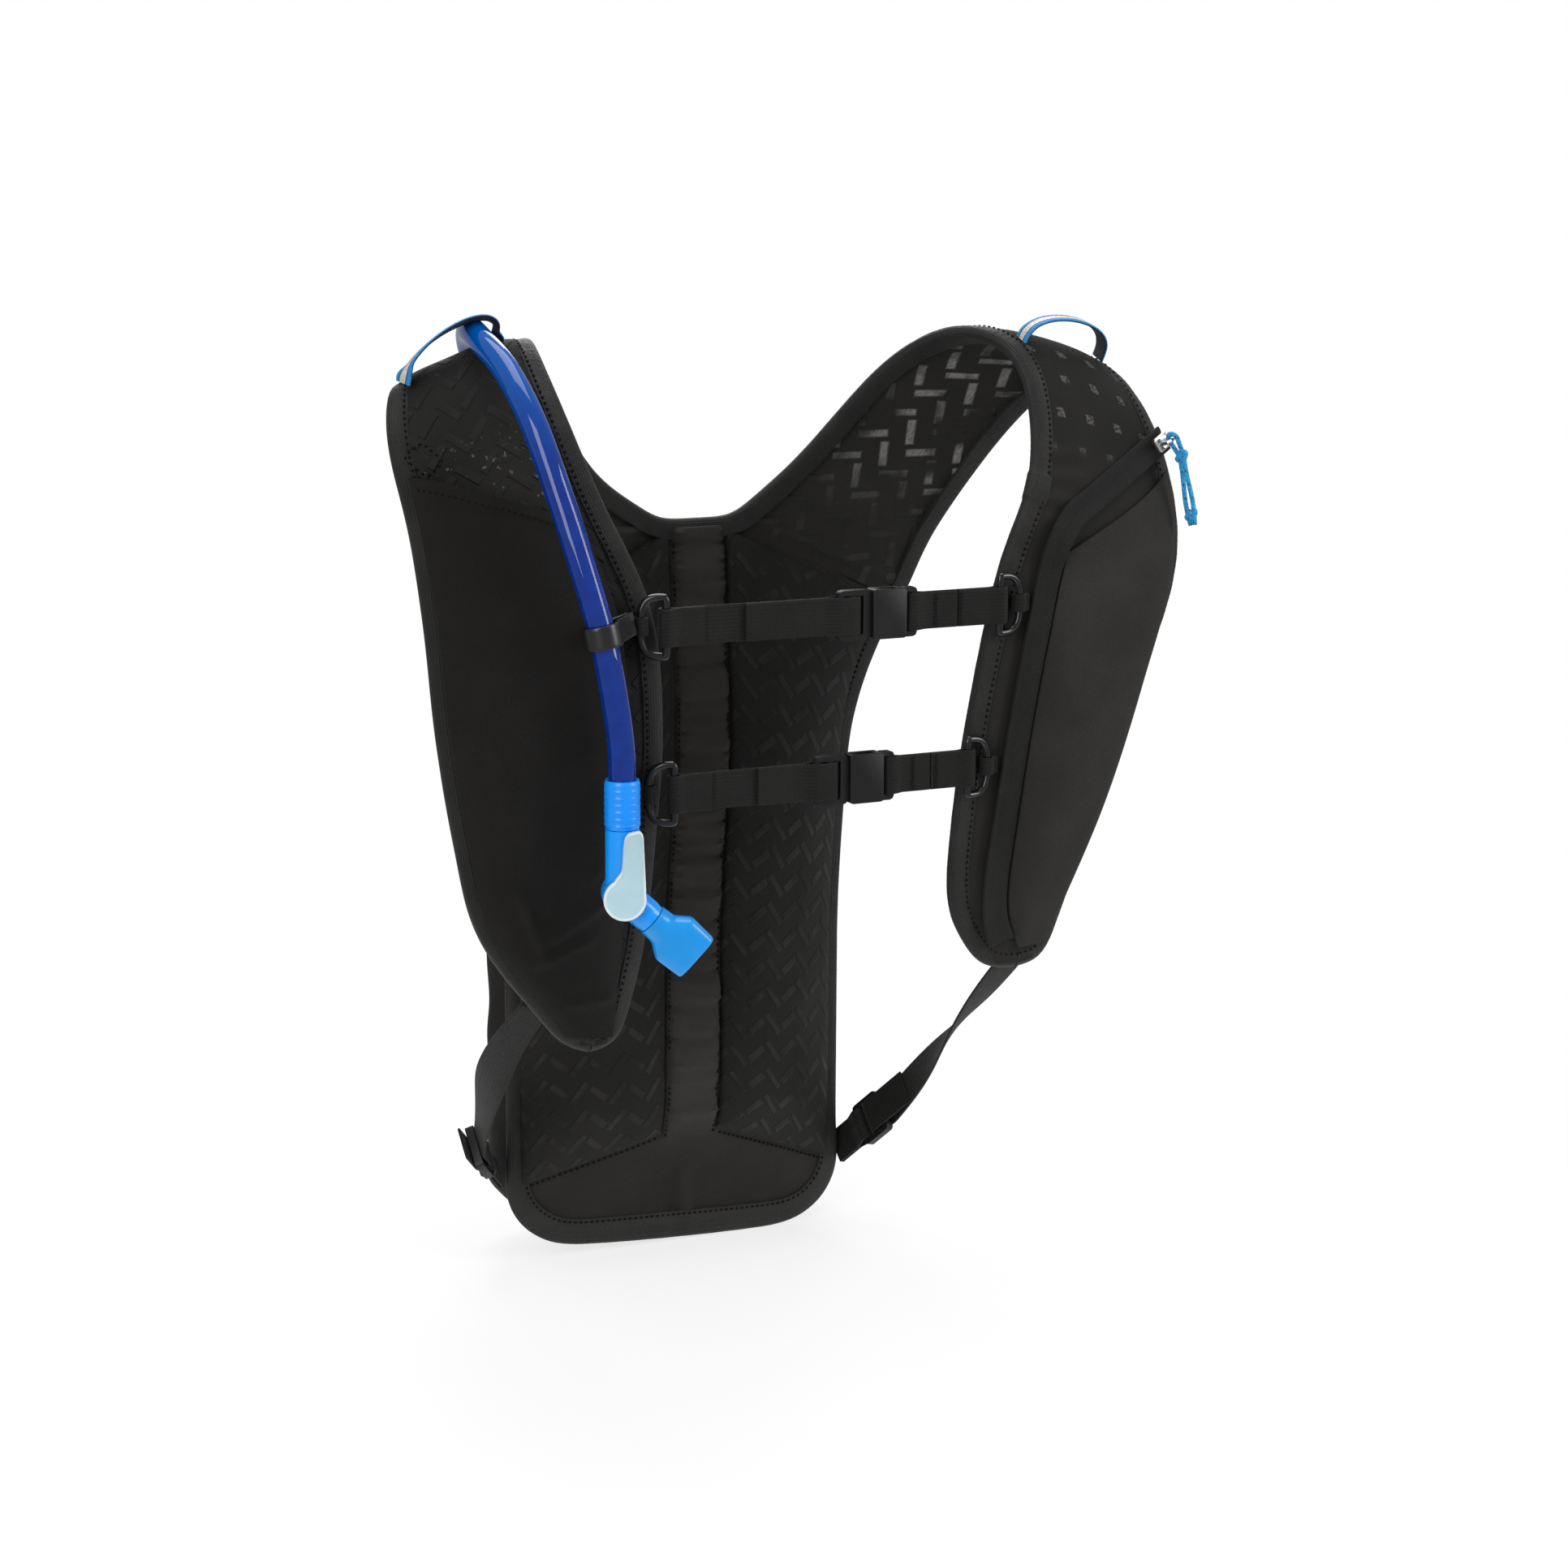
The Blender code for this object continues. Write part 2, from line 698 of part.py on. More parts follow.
def make_bindings():
    offset = BINDING_RADIUS + SEAT
    mirror = np.array((-1, 1, 1))
    left = strap_hem("left", 0, offset)
    right = strap_hem("right", 0, offset)
    tube("neck_binding", right[::-1] + left, BINDING_RADIUS, "binding_tape")
    panel = panel_hem(offset)
    round_panel = panel + [bead * mirror for bead in panel[-2::-1]]
    for bead in round_panel:
        bead[0] += sway(bead[2])
    left = strap_hem("left", 1, offset)
    right = strap_hem("right", 1, offset)
    tube("outer_binding", left[::-1] + round_panel + right, BINDING_RADIUS, "binding_tape")


# Chest pockets


def pocket_slab(name, side, place_on_strap, room, finish):
    def sheet(lift):
        def place(a, b):
            t, s = place_on_strap(a, b)
            return on_strap(side, t, s, SEAT + room(a, b) + lift)

        return place

    slab(name, 7, 12, sheet(0), sheet(POCKET_SHEET), finish)


def make_stretch_pocket():
    # Open along its slanting top hem
    def place(a, b):
        s = POCKET_INSET + (0.97 - POCKET_INSET) * a
        top = 5.2 - 0.75 * a
        return top + (9.7 - top) * b, s

    def room(a, b):
        return STRETCH_ROOM * (1 - (2 * a - 1) ** 4) * (1 - b**4)

    pocket_slab("stretch_pocket", "right", place, room, "black_fabric")


ZIP_TOP = (4.4, 1.0)
ZIP_CORNER = (5.5, 0.2)
ZIP_END = (9.6, 0.3)
POUCH_END = 9.75


def strap_width(side, t):
    return np.linalg.norm(through(ARM_EDGE[side], t) - through(NECK_EDGE[side], t))


def zip_share(t):
    # Where the zip runs across the strap below its corner
    fall = (t - ZIP_CORNER[0]) / (ZIP_END[0] - ZIP_CORNER[0])
    return ZIP_CORNER[1] + (ZIP_END[1] - ZIP_CORNER[1]) * fall


def make_zip_pocket():
    # Closed pouch between the zip and the arm edge
    margin = ZIP_WIDTH / 2 + 2 * SEAT
    slant = (ZIP_TOP[0] - ZIP_CORNER[0]) / (ZIP_TOP[1] - ZIP_CORNER[1])

    def place(a, b):
        corner_t = ZIP_CORNER[0] + 0.3
        inner = zip_share(corner_t + (POUCH_END - corner_t) * b)
        inner += margin / strap_width("left", corner_t + (POUCH_END - corner_t) * b)
        s = inner + (0.97 - inner) * a
        top = corner_t + slant * (0.97 - ZIP_CORNER[1]) * a
        return top + (POUCH_END - top) * b, s

    def room(a, b):
        return ZIP_ROOM * (1 - (2 * a - 1) ** 4) * (1 - (2 * b - 1) ** 2)

    pocket_slab("zip_pocket", "left", place, room, "black_fabric")


def zip_line():
    # Straight run of the zip: its two ends and the directions along it, across it and outwards
    top = on_strap("left", *ZIP_TOP, ZIP_LIFT)
    corner = on_strap("left", *ZIP_CORNER, ZIP_LIFT)
    ahead = unit(corner - top)
    outwards = strap_frame("left", (ZIP_TOP[0] + ZIP_CORNER[0]) / 2, 0.55)[3]
    across = unit(np.cross(outwards, ahead))
    return top, corner, ahead, across, np.cross(ahead, across)


def make_zip():
    top, corner, ahead, across, _ = zip_line()
    path = [top + (corner - top) * share for share in np.linspace(0, 0.92, 6)]
    sides = [across] * len(path)
    below = []
    below_sides = []
    for t in np.linspace(ZIP_CORNER[0] + 0.5, ZIP_END[0], 9):
        share = zip_share(t)
        below.append(on_strap("left", t, share, 2 * SEAT + ZIP_THICK / 2))
        below_sides.append(unit(on_strap("left", t, share + 0.05, 0) - on_strap("left", t, share - 0.05, 0)))
    bend = on_strap("left", ZIP_CORNER[0] + 0.2, zip_share(ZIP_CORNER[0]), ZIP_LIFT)
    path += [bend] + below
    sides += [unit(across + below_sides[0])] + below_sides
    ribbon("pocket_zip", path, sides, ZIP_WIDTH, ZIP_THICK, "webbing")


def slider_matrix():
    top, _, ahead, across, outwards = zip_line()
    place = top + ahead * (SLIDER_START + SLIDER_LENGTH / 2) + outwards * (ZIP_THICK / 2 + GAP)
    turn = Matrix((ahead, across, outwards)).transposed().to_4x4()
    return Matrix.Translation(Vector(place)) @ turn


def make_slider():
    # Body on the zip with a wire bail over it, and a knotted cord through the bail
    frame = slider_matrix()
    body = box("zip_slider", (-SLIDER_LENGTH / 2, -SLIDER_WIDTH / 2, 0),
               (SLIDER_LENGTH / 2, SLIDER_WIDTH / 2, SLIDER_HEIGHT), "zip_metal")
    foot = SLIDER_HEIGHT - BAIL_SINK
    reach = SLIDER_LENGTH / 2 - BAIL_WIRE
    bail_points = [(-reach, 0, foot), (-reach, 0, foot + BAIL_RISE * 0.8)]
    bail_points += [(reach * k, 0, foot + BAIL_RISE) for k in (-0.6, 0.6)]
    bail_points += [(reach, 0, foot + BAIL_RISE * 0.8), (reach, 0, foot)]
    bail = curve_to_mesh(tube("zip_bail", bail_points, BAIL_WIRE / 2, None, collection=cutters))
    bail.hide_render = True
    bail.display_type = "WIRE"
    bevel(body, 0.8 * MM, 1)
    boolean(body, bail, "UNION")
    body.matrix_world = frame
    bail.matrix_world = frame


def pull_hinge():
    # Middle of the bail's wire and the wire's direction
    frame = slider_matrix()
    centre = frame @ Vector((0, 0, SLIDER_HEIGHT - BAIL_SINK + BAIL_RISE))
    return np.array(centre), np.array(frame.to_3x3() @ Vector((1, 0, 0)))


def make_pull():
    # Cord looped round the bail: two strands to a first knot, then straight down to an end knot
    centre, wire = pull_hinge()
    down = unit(np.array(PULL_FALL))
    fall = unit(down - wire * np.dot(down, wire))
    side = np.cross(wire, fall)
    ring = BAIL_WIRE / 2 + GAP + PULL_CORD / 2
    close = PULL_CORD / 2 + GAP / 2
    loop = [side * x - fall * y for x, y in arc((0, 0), ring, -15, 195, 9)]
    first = fall * (ring + PULL_KNOT)
    last = first + down * (PULL_LENGTH - ring - PULL_KNOT)
    path = [last + side * close, first + side * close] + loop + [first - side * close, last - side * close]
    cord = curve_to_mesh(tube("zip_pull", path, PULL_CORD / 2, "cord_blue"))
    for number, place in enumerate((first, last)):
        bm = bmesh.new()
        bmesh.ops.create_icosphere(bm, subdivisions=1, radius=PULL_KNOT / 2)
        bmesh.ops.translate(bm, vec=place, verts=bm.verts[:])
        knot = mesh_object(f"pull_knot_{number}", bm, None, cutters)
        knot.location = centre
        boolean(cord, knot, "UNION")
    cord.location = centre


# Webbing paths

# First and last angle, in degrees, of webbing that turns back round a bar
EYE_TURN = (235, 485)


def eye(centre, radius, lead, layer):
    # Path in local x and y round a bar at the far end, from the front layer to the back layer
    x, y = centre
    return [(x - lead, y - layer)] + arc(centre, radius, *EYE_TURN, 8) + [(x - lead, y + layer)]


def lay(path, origin, ahead, front):
    # Local path to world: x along ahead, y along front
    origin, ahead, front = np.array(origin), np.array(ahead), np.array(front)
    return [origin + ahead * x + front * y for x, y in path]


def spread(path, step=12 * MM):
    # Adds points to long straight stretches
    full = [np.array(path[0])]
    for point in path[1:]:
        point = np.array(point)
        count = max(int(np.linalg.norm(point - full[-1]) // step), 1)
        start = full[-1]
        full += [start + (point - start) * (k + 1) / count for k in range(count)]
    return full


LAYER = (WEB_THICK + GAP) / 2
RING_EYE = RING_WIRE / 2 + RING_PLAY + WEB_THICK / 2
RING_HALF = WEB_WIDTH / 2 + 2 * GAP + RING_WIRE
RING_SEAT_HEIGHT = RING_EYE + WEB_THICK / 2 + SEAT


def ring_places(name):
    # For each side: the ring's outermost point on the strap, and the middle of its straight bar
    height = STERNUM_HEIGHT[name]
    seats = {}
    for side in SIDES:
        t = station_at(side, height, RING_SEAT)
        seats[side] = on_strap(side, t, RING_SEAT, RING_SEAT_HEIGHT), t
    plane = min(seats["left"][0][1], seats["right"][0][1]) - RING_STAND
    places = {}
    for side, sign in SIDES.items():
        seat, t = seats[side]
        run = math.sqrt(RING_REACH**2 - (plane - seat[1]) ** 2)
        places[side] = seat, np.array((seat[0] - sign * run, plane, height)), t
    return places


def make_ring(name, side, seat, bar):
    # Rounded D: a straight bar for the webbing, bowed to the seat on the strap
    out = unit(seat - bar)
    up = np.array((0, 0, 1.0))
    points = []
    for a in np.radians(np.linspace(-90, 90, 13)):
        reach = RING_REACH * max(math.cos(a), 0) ** 0.6
        rise = RING_HALF * math.copysign(abs(math.sin(a)) ** 0.6, a)
        points.append(bar + out * reach + up * rise)
    tube(f"{name}_ring_{side}", points, RING_WIRE / 2, "black_plastic", True)


def make_ring_tab(name, side, seat, t):
    # Sewn tab: along the strap's face, round the ring and back over itself
    up = np.array((0, 0, 1.0))
    ahead = on_strap(side, t, RING_SEAT + 0.08, 0) - on_strap(side, t, RING_SEAT, 0)
    ahead = unit(ahead - up * ahead[2])
    outwards = np.cross(up, ahead)
    outwards *= np.sign(np.dot(outwards, strap_frame(side, t, RING_SEAT)[3]))
    path = [(RING_TAB_LENGTH, -RING_EYE), (0, -RING_EYE)]
    path += arc((0, 0), RING_EYE, 240, 60, 7)
    path += [(RING_TAB_LENGTH * 0.6, -RING_EYE + 2 * LAYER), (RING_TAB_LENGTH, -RING_EYE + 2 * LAYER)]
    world = lay(path, seat, ahead, outwards)
    ribbon(f"{name}_ring_tab_{side}", world, up, RING_TAB_WIDTH, WEB_THICK, "webbing")


def plug_stations(name):
    # Heights along x of the plug's bars, measured from the socket's mouth towards the wearer's right
    mouth = STERNUM_MOUTH[name]
    shoulder = mouth - GAP
    bar = shoulder - PLUG_BASE - BUCKLE_SLOT - BUCKLE_BAR / 2
    end_bar = bar - BUCKLE_BAR / 2 - BUCKLE_SLOT - BUCKLE_END_BAR / 2
    return shoulder, bar, end_bar


def socket_stations(name):
    mouth = STERNUM_MOUTH[name]
    floor = mouth + PRONG_LENGTH + GAP
    slot = floor + SOCKET_END_WALL
    bar = slot + BUCKLE_SLOT + BUCKLE_BAR / 2
    return mouth, floor, slot, bar


def make_plug(name, plane):
    # Ladder frame for the webbing, then a tongue and two sprung arms
    shoulder, bar, end_bar = plug_stations(name)
    half = BUCKLE_WIDTH / 2
    slot_half = WEB_WIDTH / 2 + GAP
    left = end_bar - BUCKLE_END_BAR / 2
    tip = shoulder + PRONG_LENGTH
    arm_out = half - SOCKET_WALL - GAP
    arm_in = arm_out - PRONG_WIDTH
    outline = rounded_rectangle((left, -half), (shoulder, half), 2 * MM)[::-1]
    corner = outline.index(min(outline, key=lambda p: abs(p[0] - shoulder) + abs(p[1] - half + 2 * MM)))
    outline = outline[corner:] + outline[:corner]
    profile = [(shoulder, arm_out), (shoulder + 4 * MM, arm_out - 1 * MM), (tip - 4 * MM, arm_out),
               (tip - 1.5 * MM, arm_out - 0.6 * MM), (tip - 1 * MM, arm_in), (tip - 5 * MM, arm_in),
               (shoulder + 1 * MM, arm_in - 1 * MM), (shoulder + 1 * MM, TONGUE_WIDTH / 2),
               (tip - 2 * MM, TONGUE_WIDTH / 2 - 0.5 * MM)]
    prongs = profile + [(x, -z) for x, z in profile[::-1]]
    upper = [p for p in outline if p[1] > half - 2.1 * MM]
    upper.sort(key=lambda p: p[0])
    lower = [(x, -z) for x, z in upper]
    ring = upper + prongs + lower[::-1]
    slots = [rectangle((bar - BUCKLE_BAR / 2 - BUCKLE_SLOT, -slot_half), (bar - BUCKLE_BAR / 2, slot_half)),
             rectangle((bar + BUCKLE_BAR / 2, -slot_half), (bar + BUCKLE_BAR / 2 + BUCKLE_SLOT, slot_half))]
    item = plate(f"{name}_buckle_plug", [ring] + slots, PLUG_THICK, "black_plastic")
    item.location = (0, plane, STERNUM_HEIGHT[name])


def make_socket(name, plane):
    # Flattened box, open at its mouth and through its sides, with a thinner loop for the webbing
    mouth, floor, slot, bar = socket_stations(name)
    half = BUCKLE_WIDTH / 2
    inside = half - SOCKET_WALL
    room = PLUG_THICK / 2 + GAP
    slot_half = WEB_WIDTH / 2 + GAP
    end = bar + BUCKLE_BAR / 2
    place = (0, plane, STERNUM_HEIGHT[name])
    body = plate(f"{name}_buckle_socket", [rounded_rectangle((mouth, -half), (slot, half), 1.2 * MM, 3)],
                 SOCKET_THICK, "black_plastic")
    loop_outline = rounded_rectangle((slot - 2 * MM, -half), (end, half), 1.8 * MM, 3)
    hole = rectangle((slot, -slot_half), (bar - BUCKLE_BAR / 2, slot_half))
    loop = plate(f"{name}_socket_loop", [loop_outline, hole], SOCKET_LOOP_THICK, None, cutters)
    cavity = box(f"{name}_socket_cavity", (mouth - 1 * MM, -room, -inside), (floor, room, inside), None, cutters)
    window = box(f"{name}_socket_windows", (mouth + 3.5 * MM, -room, -half - 1 * MM),
                 (floor - 2 * MM, room, half + 1 * MM), None, cutters)
    boolean(body, cavity, "DIFFERENCE")
    boolean(body, window, "DIFFERENCE")
    boolean(body, loop, "UNION")
    for item in (body, loop, cavity, window):
        item.location = place


def make_sternum_webbing(name, places):
    height = STERNUM_HEIGHT[name]
    plane = places["left"][1][1]
    left_bar, right_bar = places["left"][1][0], places["right"][1][0]
    _, bar, end_bar = plug_stations(name)
    socket_bar = socket_stations(name)[3]
    up = (0, 0, 1)
    lead = 5 * MM
    bar_eye = math.hypot(BUCKLE_BAR, SOCKET_LOOP_THICK) / 2 + GAP + WEB_THICK / 2
    middle = (socket_bar + left_bar) / 2

    # Sewn webbing: one flattened loop round the socket's bar and the ring
    far = eye((left_bar, 0), RING_EYE, lead, LAYER)
    near = [(2 * socket_bar - x, -y) for x, y in eye((socket_bar, 0), bar_eye, lead, LAYER)]
    path = [(middle + GAP, -LAYER)] + far + near + [(middle - GAP, -LAYER)]
    world = lay(spread(path), (0, plane, height), (1, 0, 0), (0, 1, 0))
    ribbon(f"{name}_webbing_left", world, up, WEB_WIDTH, WEB_THICK, "webbing")

    # Adjusting webbing: its tail, round the plug's bar, back to the ring and sewn on itself
    plug_eye = math.hypot(BUCKLE_BAR, PLUG_THICK) / 2 + GAP + WEB_THICK / 2
    past = end_bar - BUCKLE_END_BAR / 2 - GAP
    path = [(end_bar - STERNUM_TAIL, -LAYER), (past - lead, -LAYER), (past, -plug_eye)]
    path += arc((bar, 0), plug_eye, 270, 450, 8)
    path += [(past, plug_eye), (past - lead, LAYER)]
    path += [(2 * right_bar - x, -y) for x, y in eye((right_bar, 0), RING_EYE, lead, LAYER)]
    path += [(right_bar + WEB_SEWN, -LAYER)]
    world = lay(spread(path), (0, plane, height), (1, 0, 0), (0, 1, 0))
    ribbon(f"{name}_webbing_right", world, up, WEB_WIDTH, WEB_THICK, "webbing")


def make_sternum_strap(name):
    places = ring_places(name)
    for side, (seat, bar, t) in places.items():
        make_ring(name, side, seat, bar)
        make_ring_tab(name, side, seat, t)
    plane = places["left"][1][1]
    make_plug(name, plane)
    make_socket(name, plane)
    make_sternum_webbing(name, places)


# Side straps


def side_strap_seat(side):
    # Where the strap is sewn behind the chest panel, with the directions down the panel and across
    t, share = SIDE_STRAP_SEAT[side]
    point, along, across, outwards = strap_frame(side, t, share)
    lift = max(strap_half(share), BINDING_RADIUS) + SEAT + WEB_THICK / 2
    return point - outwards * lift, along, across


def lock_frame(side):
    # Ladder lock beside the panel's lower edge, pointing to the chest, with its width and front
    sign = SIDES[side]
    height = LOCK_HEIGHT[side]
    edge = half_width(height + WEB_WIDTH / 2)
    beside = edge + 2 * BINDING_RADIUS + 2 * SEAT + 2 * LAYER
    root = np.array((sign * beside + sway(height), front_depth(edge, height) + PANEL_SHEET / 2, height))
    ahead = unit(unit(side_strap_seat(side)[0] - root) + np.array((sign * LOCK_SPLAY[side], 0, 0)))
    width = np.array((0, 0.7, 0.7))
    width = unit(width - ahead * np.dot(width, ahead))
    return root, ahead, width, np.cross(width, ahead)


def make_side_strap(side):
    root, ahead, width, front = lock_frame(side)
    half = WEB_WIDTH / 2 + GAP
    rear = LOCK_STANDOFF
    bar = rear + BUCKLE_BAR + LOCK_REAR_SLOT
    end_bar = bar + BUCKLE_BAR + BUCKLE_SLOT
    outline = rounded_rectangle((rear - BUCKLE_BAR / 2, -half - LOCK_RAIL),
                                (end_bar + BUCKLE_BAR / 2, half + LOCK_RAIL), 2 * MM)
    slots = [rectangle((low + BUCKLE_BAR / 2, -half), (high - BUCKLE_BAR / 2, half))
             for low, high in ((rear, bar), (bar, end_bar))]
    lock = plate(f"ladder_lock_{side}", [outline] + slots, LOCK_THICK, "black_plastic")
    turn = Matrix((ahead, np.cross(width, ahead), width)).transposed().to_4x4()
    lock.matrix_world = Matrix.Translation(Vector(root)) @ turn

    # Tab from the panel's hem round the lock's rear bar
    bar_eye = math.hypot(BUCKLE_BAR, LOCK_THICK) / 2 + GAP + WEB_THICK / 2
    path = [(0, -LAYER)] + eye((rear, 0), bar_eye, 6 * MM, LAYER) + [(0, LAYER)]
    ribbon(f"lock_tab_{side}", lay(path, root, ahead, front), width, WEB_WIDTH, WEB_THICK, "webbing")

    # Strap: tail in front of the end bar, round the middle bar, behind the end bar, to the chest
    path = [(end_bar + SIDE_STRAP_TAIL, -bar_eye), (end_bar, -bar_eye)]
    path += arc((bar, 0), bar_eye, 270, 90, 8)
    path += [(end_bar + BUCKLE_BAR, bar_eye)]
    near = lay(path, root, ahead, front)
    seat, along, across = side_strap_seat(side)
    leaving = seat + along * SIDE_STRAP_SEWN
    run = leaving - near[-1]
    bend = near[-1] + (ahead + unit(run)) * np.linalg.norm(run) / 8
    approach = leaving + (along - unit(run)) * np.linalg.norm(run) / 8
    sides = [width] * len(near)
    level = across * np.sign(np.dot(across, width))
    for share in np.linspace(0, 1, 11)[1:]:
        rest = 1 - share
        near.append(near[len(path) - 1] * rest**3 + bend * 3 * share * rest**2
                    + approach * 3 * share**2 * rest + leaving * share**3)
        sides.append(unit(width * (1 - smooth(share)) + level * smooth(share)))
    near.append(seat)
    sides.append(level)
    ribbon(f"side_strap_{side}", near, sides, WEB_WIDTH, WEB_THICK, "webbing")


# Tube loops and the tube


def make_tube_loop(side):
    arm_foot = on_strap(side, LOOP_STATION, LOOP_ARM_SHARE, GAP + WEB_THICK / 2)
    neck_foot = on_strap(side, LOOP_STATION, LOOP_NECK_SHARE, GAP + WEB_THICK / 2)
    _, along, _, outwards = strap_frame(side, LOOP_STATION, 0.5)
    path = []
    for a in np.radians(np.linspace(0, 180, 15)):
        share = ((1 - math.cos(a)) / 2) ** LOOP_LEAN[side]
        rise = LOOP_RISE[side] * max(math.sin(a), 0) ** 0.8
        path.append(arm_foot + (neck_foot - arm_foot) * share + outwards * rise)
    ribbon(f"tube_loop_{side}", path, along, LOOP_WEB_WIDTH, WEB_THICK, "loop_webbing")


def tube_points():
    # Evenly spaced points on a smooth curve through the route
    route = [mm(*place) for place in TUBE_ROUTE]
    fine = [through(route, t) for t in np.linspace(0, len(route) - 1, 400)]
    lengths = np.concatenate(([0], np.cumsum(np.linalg.norm(np.diff(fine, axis=0), axis=1))))
    count = int(round(lengths[-1] / TUBE_STEP))
    picks = np.linspace(0, lengths[-1], count + 1)
    points = np.column_stack([np.interp(picks, lengths, np.array(fine)[:, k]) for k in range(3)])
    return points


def make_tube():
    tube("drink_tube", tube_points(), TUBE_DIAMETER / 2, "tube_blue", resolution=2)


def make_clip():
    # Moulded strap round the tube, its tail ending at the upper ring's tab
    seat = ring_places("upper")["right"][0]
    points = tube_points()
    chest = points[points[:, 1] < 0][::-1]
    near, below = [np.array([np.interp(z, chest[:, 2], chest[:, k]) for k in range(3)])
                   for z in (CLIP_DROP, CLIP_DROP - CLIP_WIDTH)]
    axis = unit(near - below)
    radius = TUBE_DIAMETER / 2 + SEAT + CLIP_THICK / 2
    ahead = unit(seat - near - axis * np.dot(seat - near, axis))
    front = np.cross(axis, ahead)
    length = np.dot(seat - near, ahead) - RING_TAB_LENGTH - GAP
    layer = (CLIP_THICK + GAP) / 2
    path = [(length, -layer)] + arc((0, 0), radius, -35, -325, 14) + [(length, layer)]
    ribbon("tube_clip", lay(path, near, ahead, front), axis, CLIP_WIDTH, CLIP_THICK, "black_plastic")


# Shut-off valve, built about the centre of its turning core: x to the bite valve, y into the strap


def place_valve(item):
    item.location = Vector(mm(*VALVE_CENTRE))
    item.rotation_euler = (0, 0, VALVE_YAW)
    return item


def make_valve_sleeve():
    # Ribbed collar over the end of the tube
    top = VALVE_NECK_TOP + GAP + SLEEVE_LENGTH
    pitch = SLEEVE_LENGTH / (SLEEVE_RIBS + 1)
    inner = TUBE_DIAMETER / 2 + SEAT
    floor = mm(*TUBE_ROUTE[-1])[2] - mm(*VALVE_CENTRE)[2] - GAP
    profile = [(inner, top), (SLEEVE_RADIUS, top)]
    for k in range(1, SLEEVE_RIBS + 1):
        crest = top - k * pitch
        profile += [(SLEEVE_RADIUS, crest + pitch * 0.3), (SLEEVE_RADIUS + SLEEVE_RIB, crest + pitch * 0.15)]
        profile += [(SLEEVE_RADIUS + SLEEVE_RIB, crest - pitch * 0.15), (SLEEVE_RADIUS, crest - pitch * 0.3)]
    bottom = VALVE_NECK_TOP + GAP
    profile += [(SLEEVE_RADIUS, bottom), (0, bottom)]
    profile = [(0, floor), (inner, floor)] + profile
    place_valve(turned("tube_sleeve", profile, "valve_blue", 12))


def make_valve_body():
    # Neck from the tube, round housing across it, and the slanting outlet, bored for the core
    outlet = Vector((math.cos(OUTLET_FALL), 0, -math.sin(OUTLET_FALL)))
    body = cylinder("shutoff_body", (0, 0, 0), (0, 0, VALVE_NECK_TOP), VALVE_HOUSING_RADIUS * 0.9,
                    "valve_blue", end_radius=VALVE_NECK_RADIUS)
    housing = cylinder("valve_housing", (0, -VALVE_HALF_DEPTH, 0), (0, VALVE_HALF_DEPTH, 0),
                       VALVE_HOUSING_RADIUS, None, cutters, 24)
    spout = cylinder("valve_spout", (0, 0, 0), outlet * OUTLET_LENGTH, OUTLET_RADIUS, None, cutters)
    bore = cylinder("valve_bore", (0, -VALVE_HALF_DEPTH * 2, 0), (0, VALVE_HALF_DEPTH - 2.2 * MM, 0),
                    VALVE_CORE_RADIUS + GAP, None, cutters, 24)
    boolean(body, housing, "UNION")
    boolean(body, spout, "UNION")
    boolean(body, bore, "DIFFERENCE")
    for item in (body, housing, spout, bore):
        place_valve(item)
    core = cylinder("shutoff_core", (0, -VALVE_HALF_DEPTH, 0), (0, VALVE_HALF_DEPTH - 2.2 * MM - GAP, 0),
                    VALVE_CORE_RADIUS, "white_plastic", segments=24)
    port = cylinder("core_port", (0, 0, -10 * MM), (0, 0, 10 * MM), VALVE_CORE_RADIUS / 2, None, cutters, 12)
    boolean(core, port, "DIFFERENCE")
    place_valve(core)
    place_valve(port)


def make_lever():
    # Disc over the core with an arm that lies along the tube when the valve is open
    disc = arc((0, 0), LEVER_DISC_RADIUS, 125, 415, 20)
    tip_half = LEVER_TIP_WIDTH / 2
    arm_axis = 2.2 * MM
    right = [(arm_axis + tip_half + 0.8 * MM, LEVER_DISC_RADIUS), (arm_axis + tip_half, LEVER_LENGTH - 2 * MM)]
    tip = arc((arm_axis, LEVER_LENGTH - tip_half), tip_half, 40, 140, 5)
    left = [(arm_axis - tip_half, LEVER_LENGTH - 5 * MM), (arm_axis - tip_half - 1 * MM, LEVER_DISC_RADIUS + 2 * MM)]
    outline = disc + right + tip + left
    lever = plate("shutoff_lever", [outline], LEVER_THICK, "lever_grey")
    lever.data.transform(Matrix.Translation((0, -VALVE_HALF_DEPTH - GAP - LEVER_THICK / 2, 0)))
    place_valve(lever)
    bevel(lever, 0.6 * MM, 1)


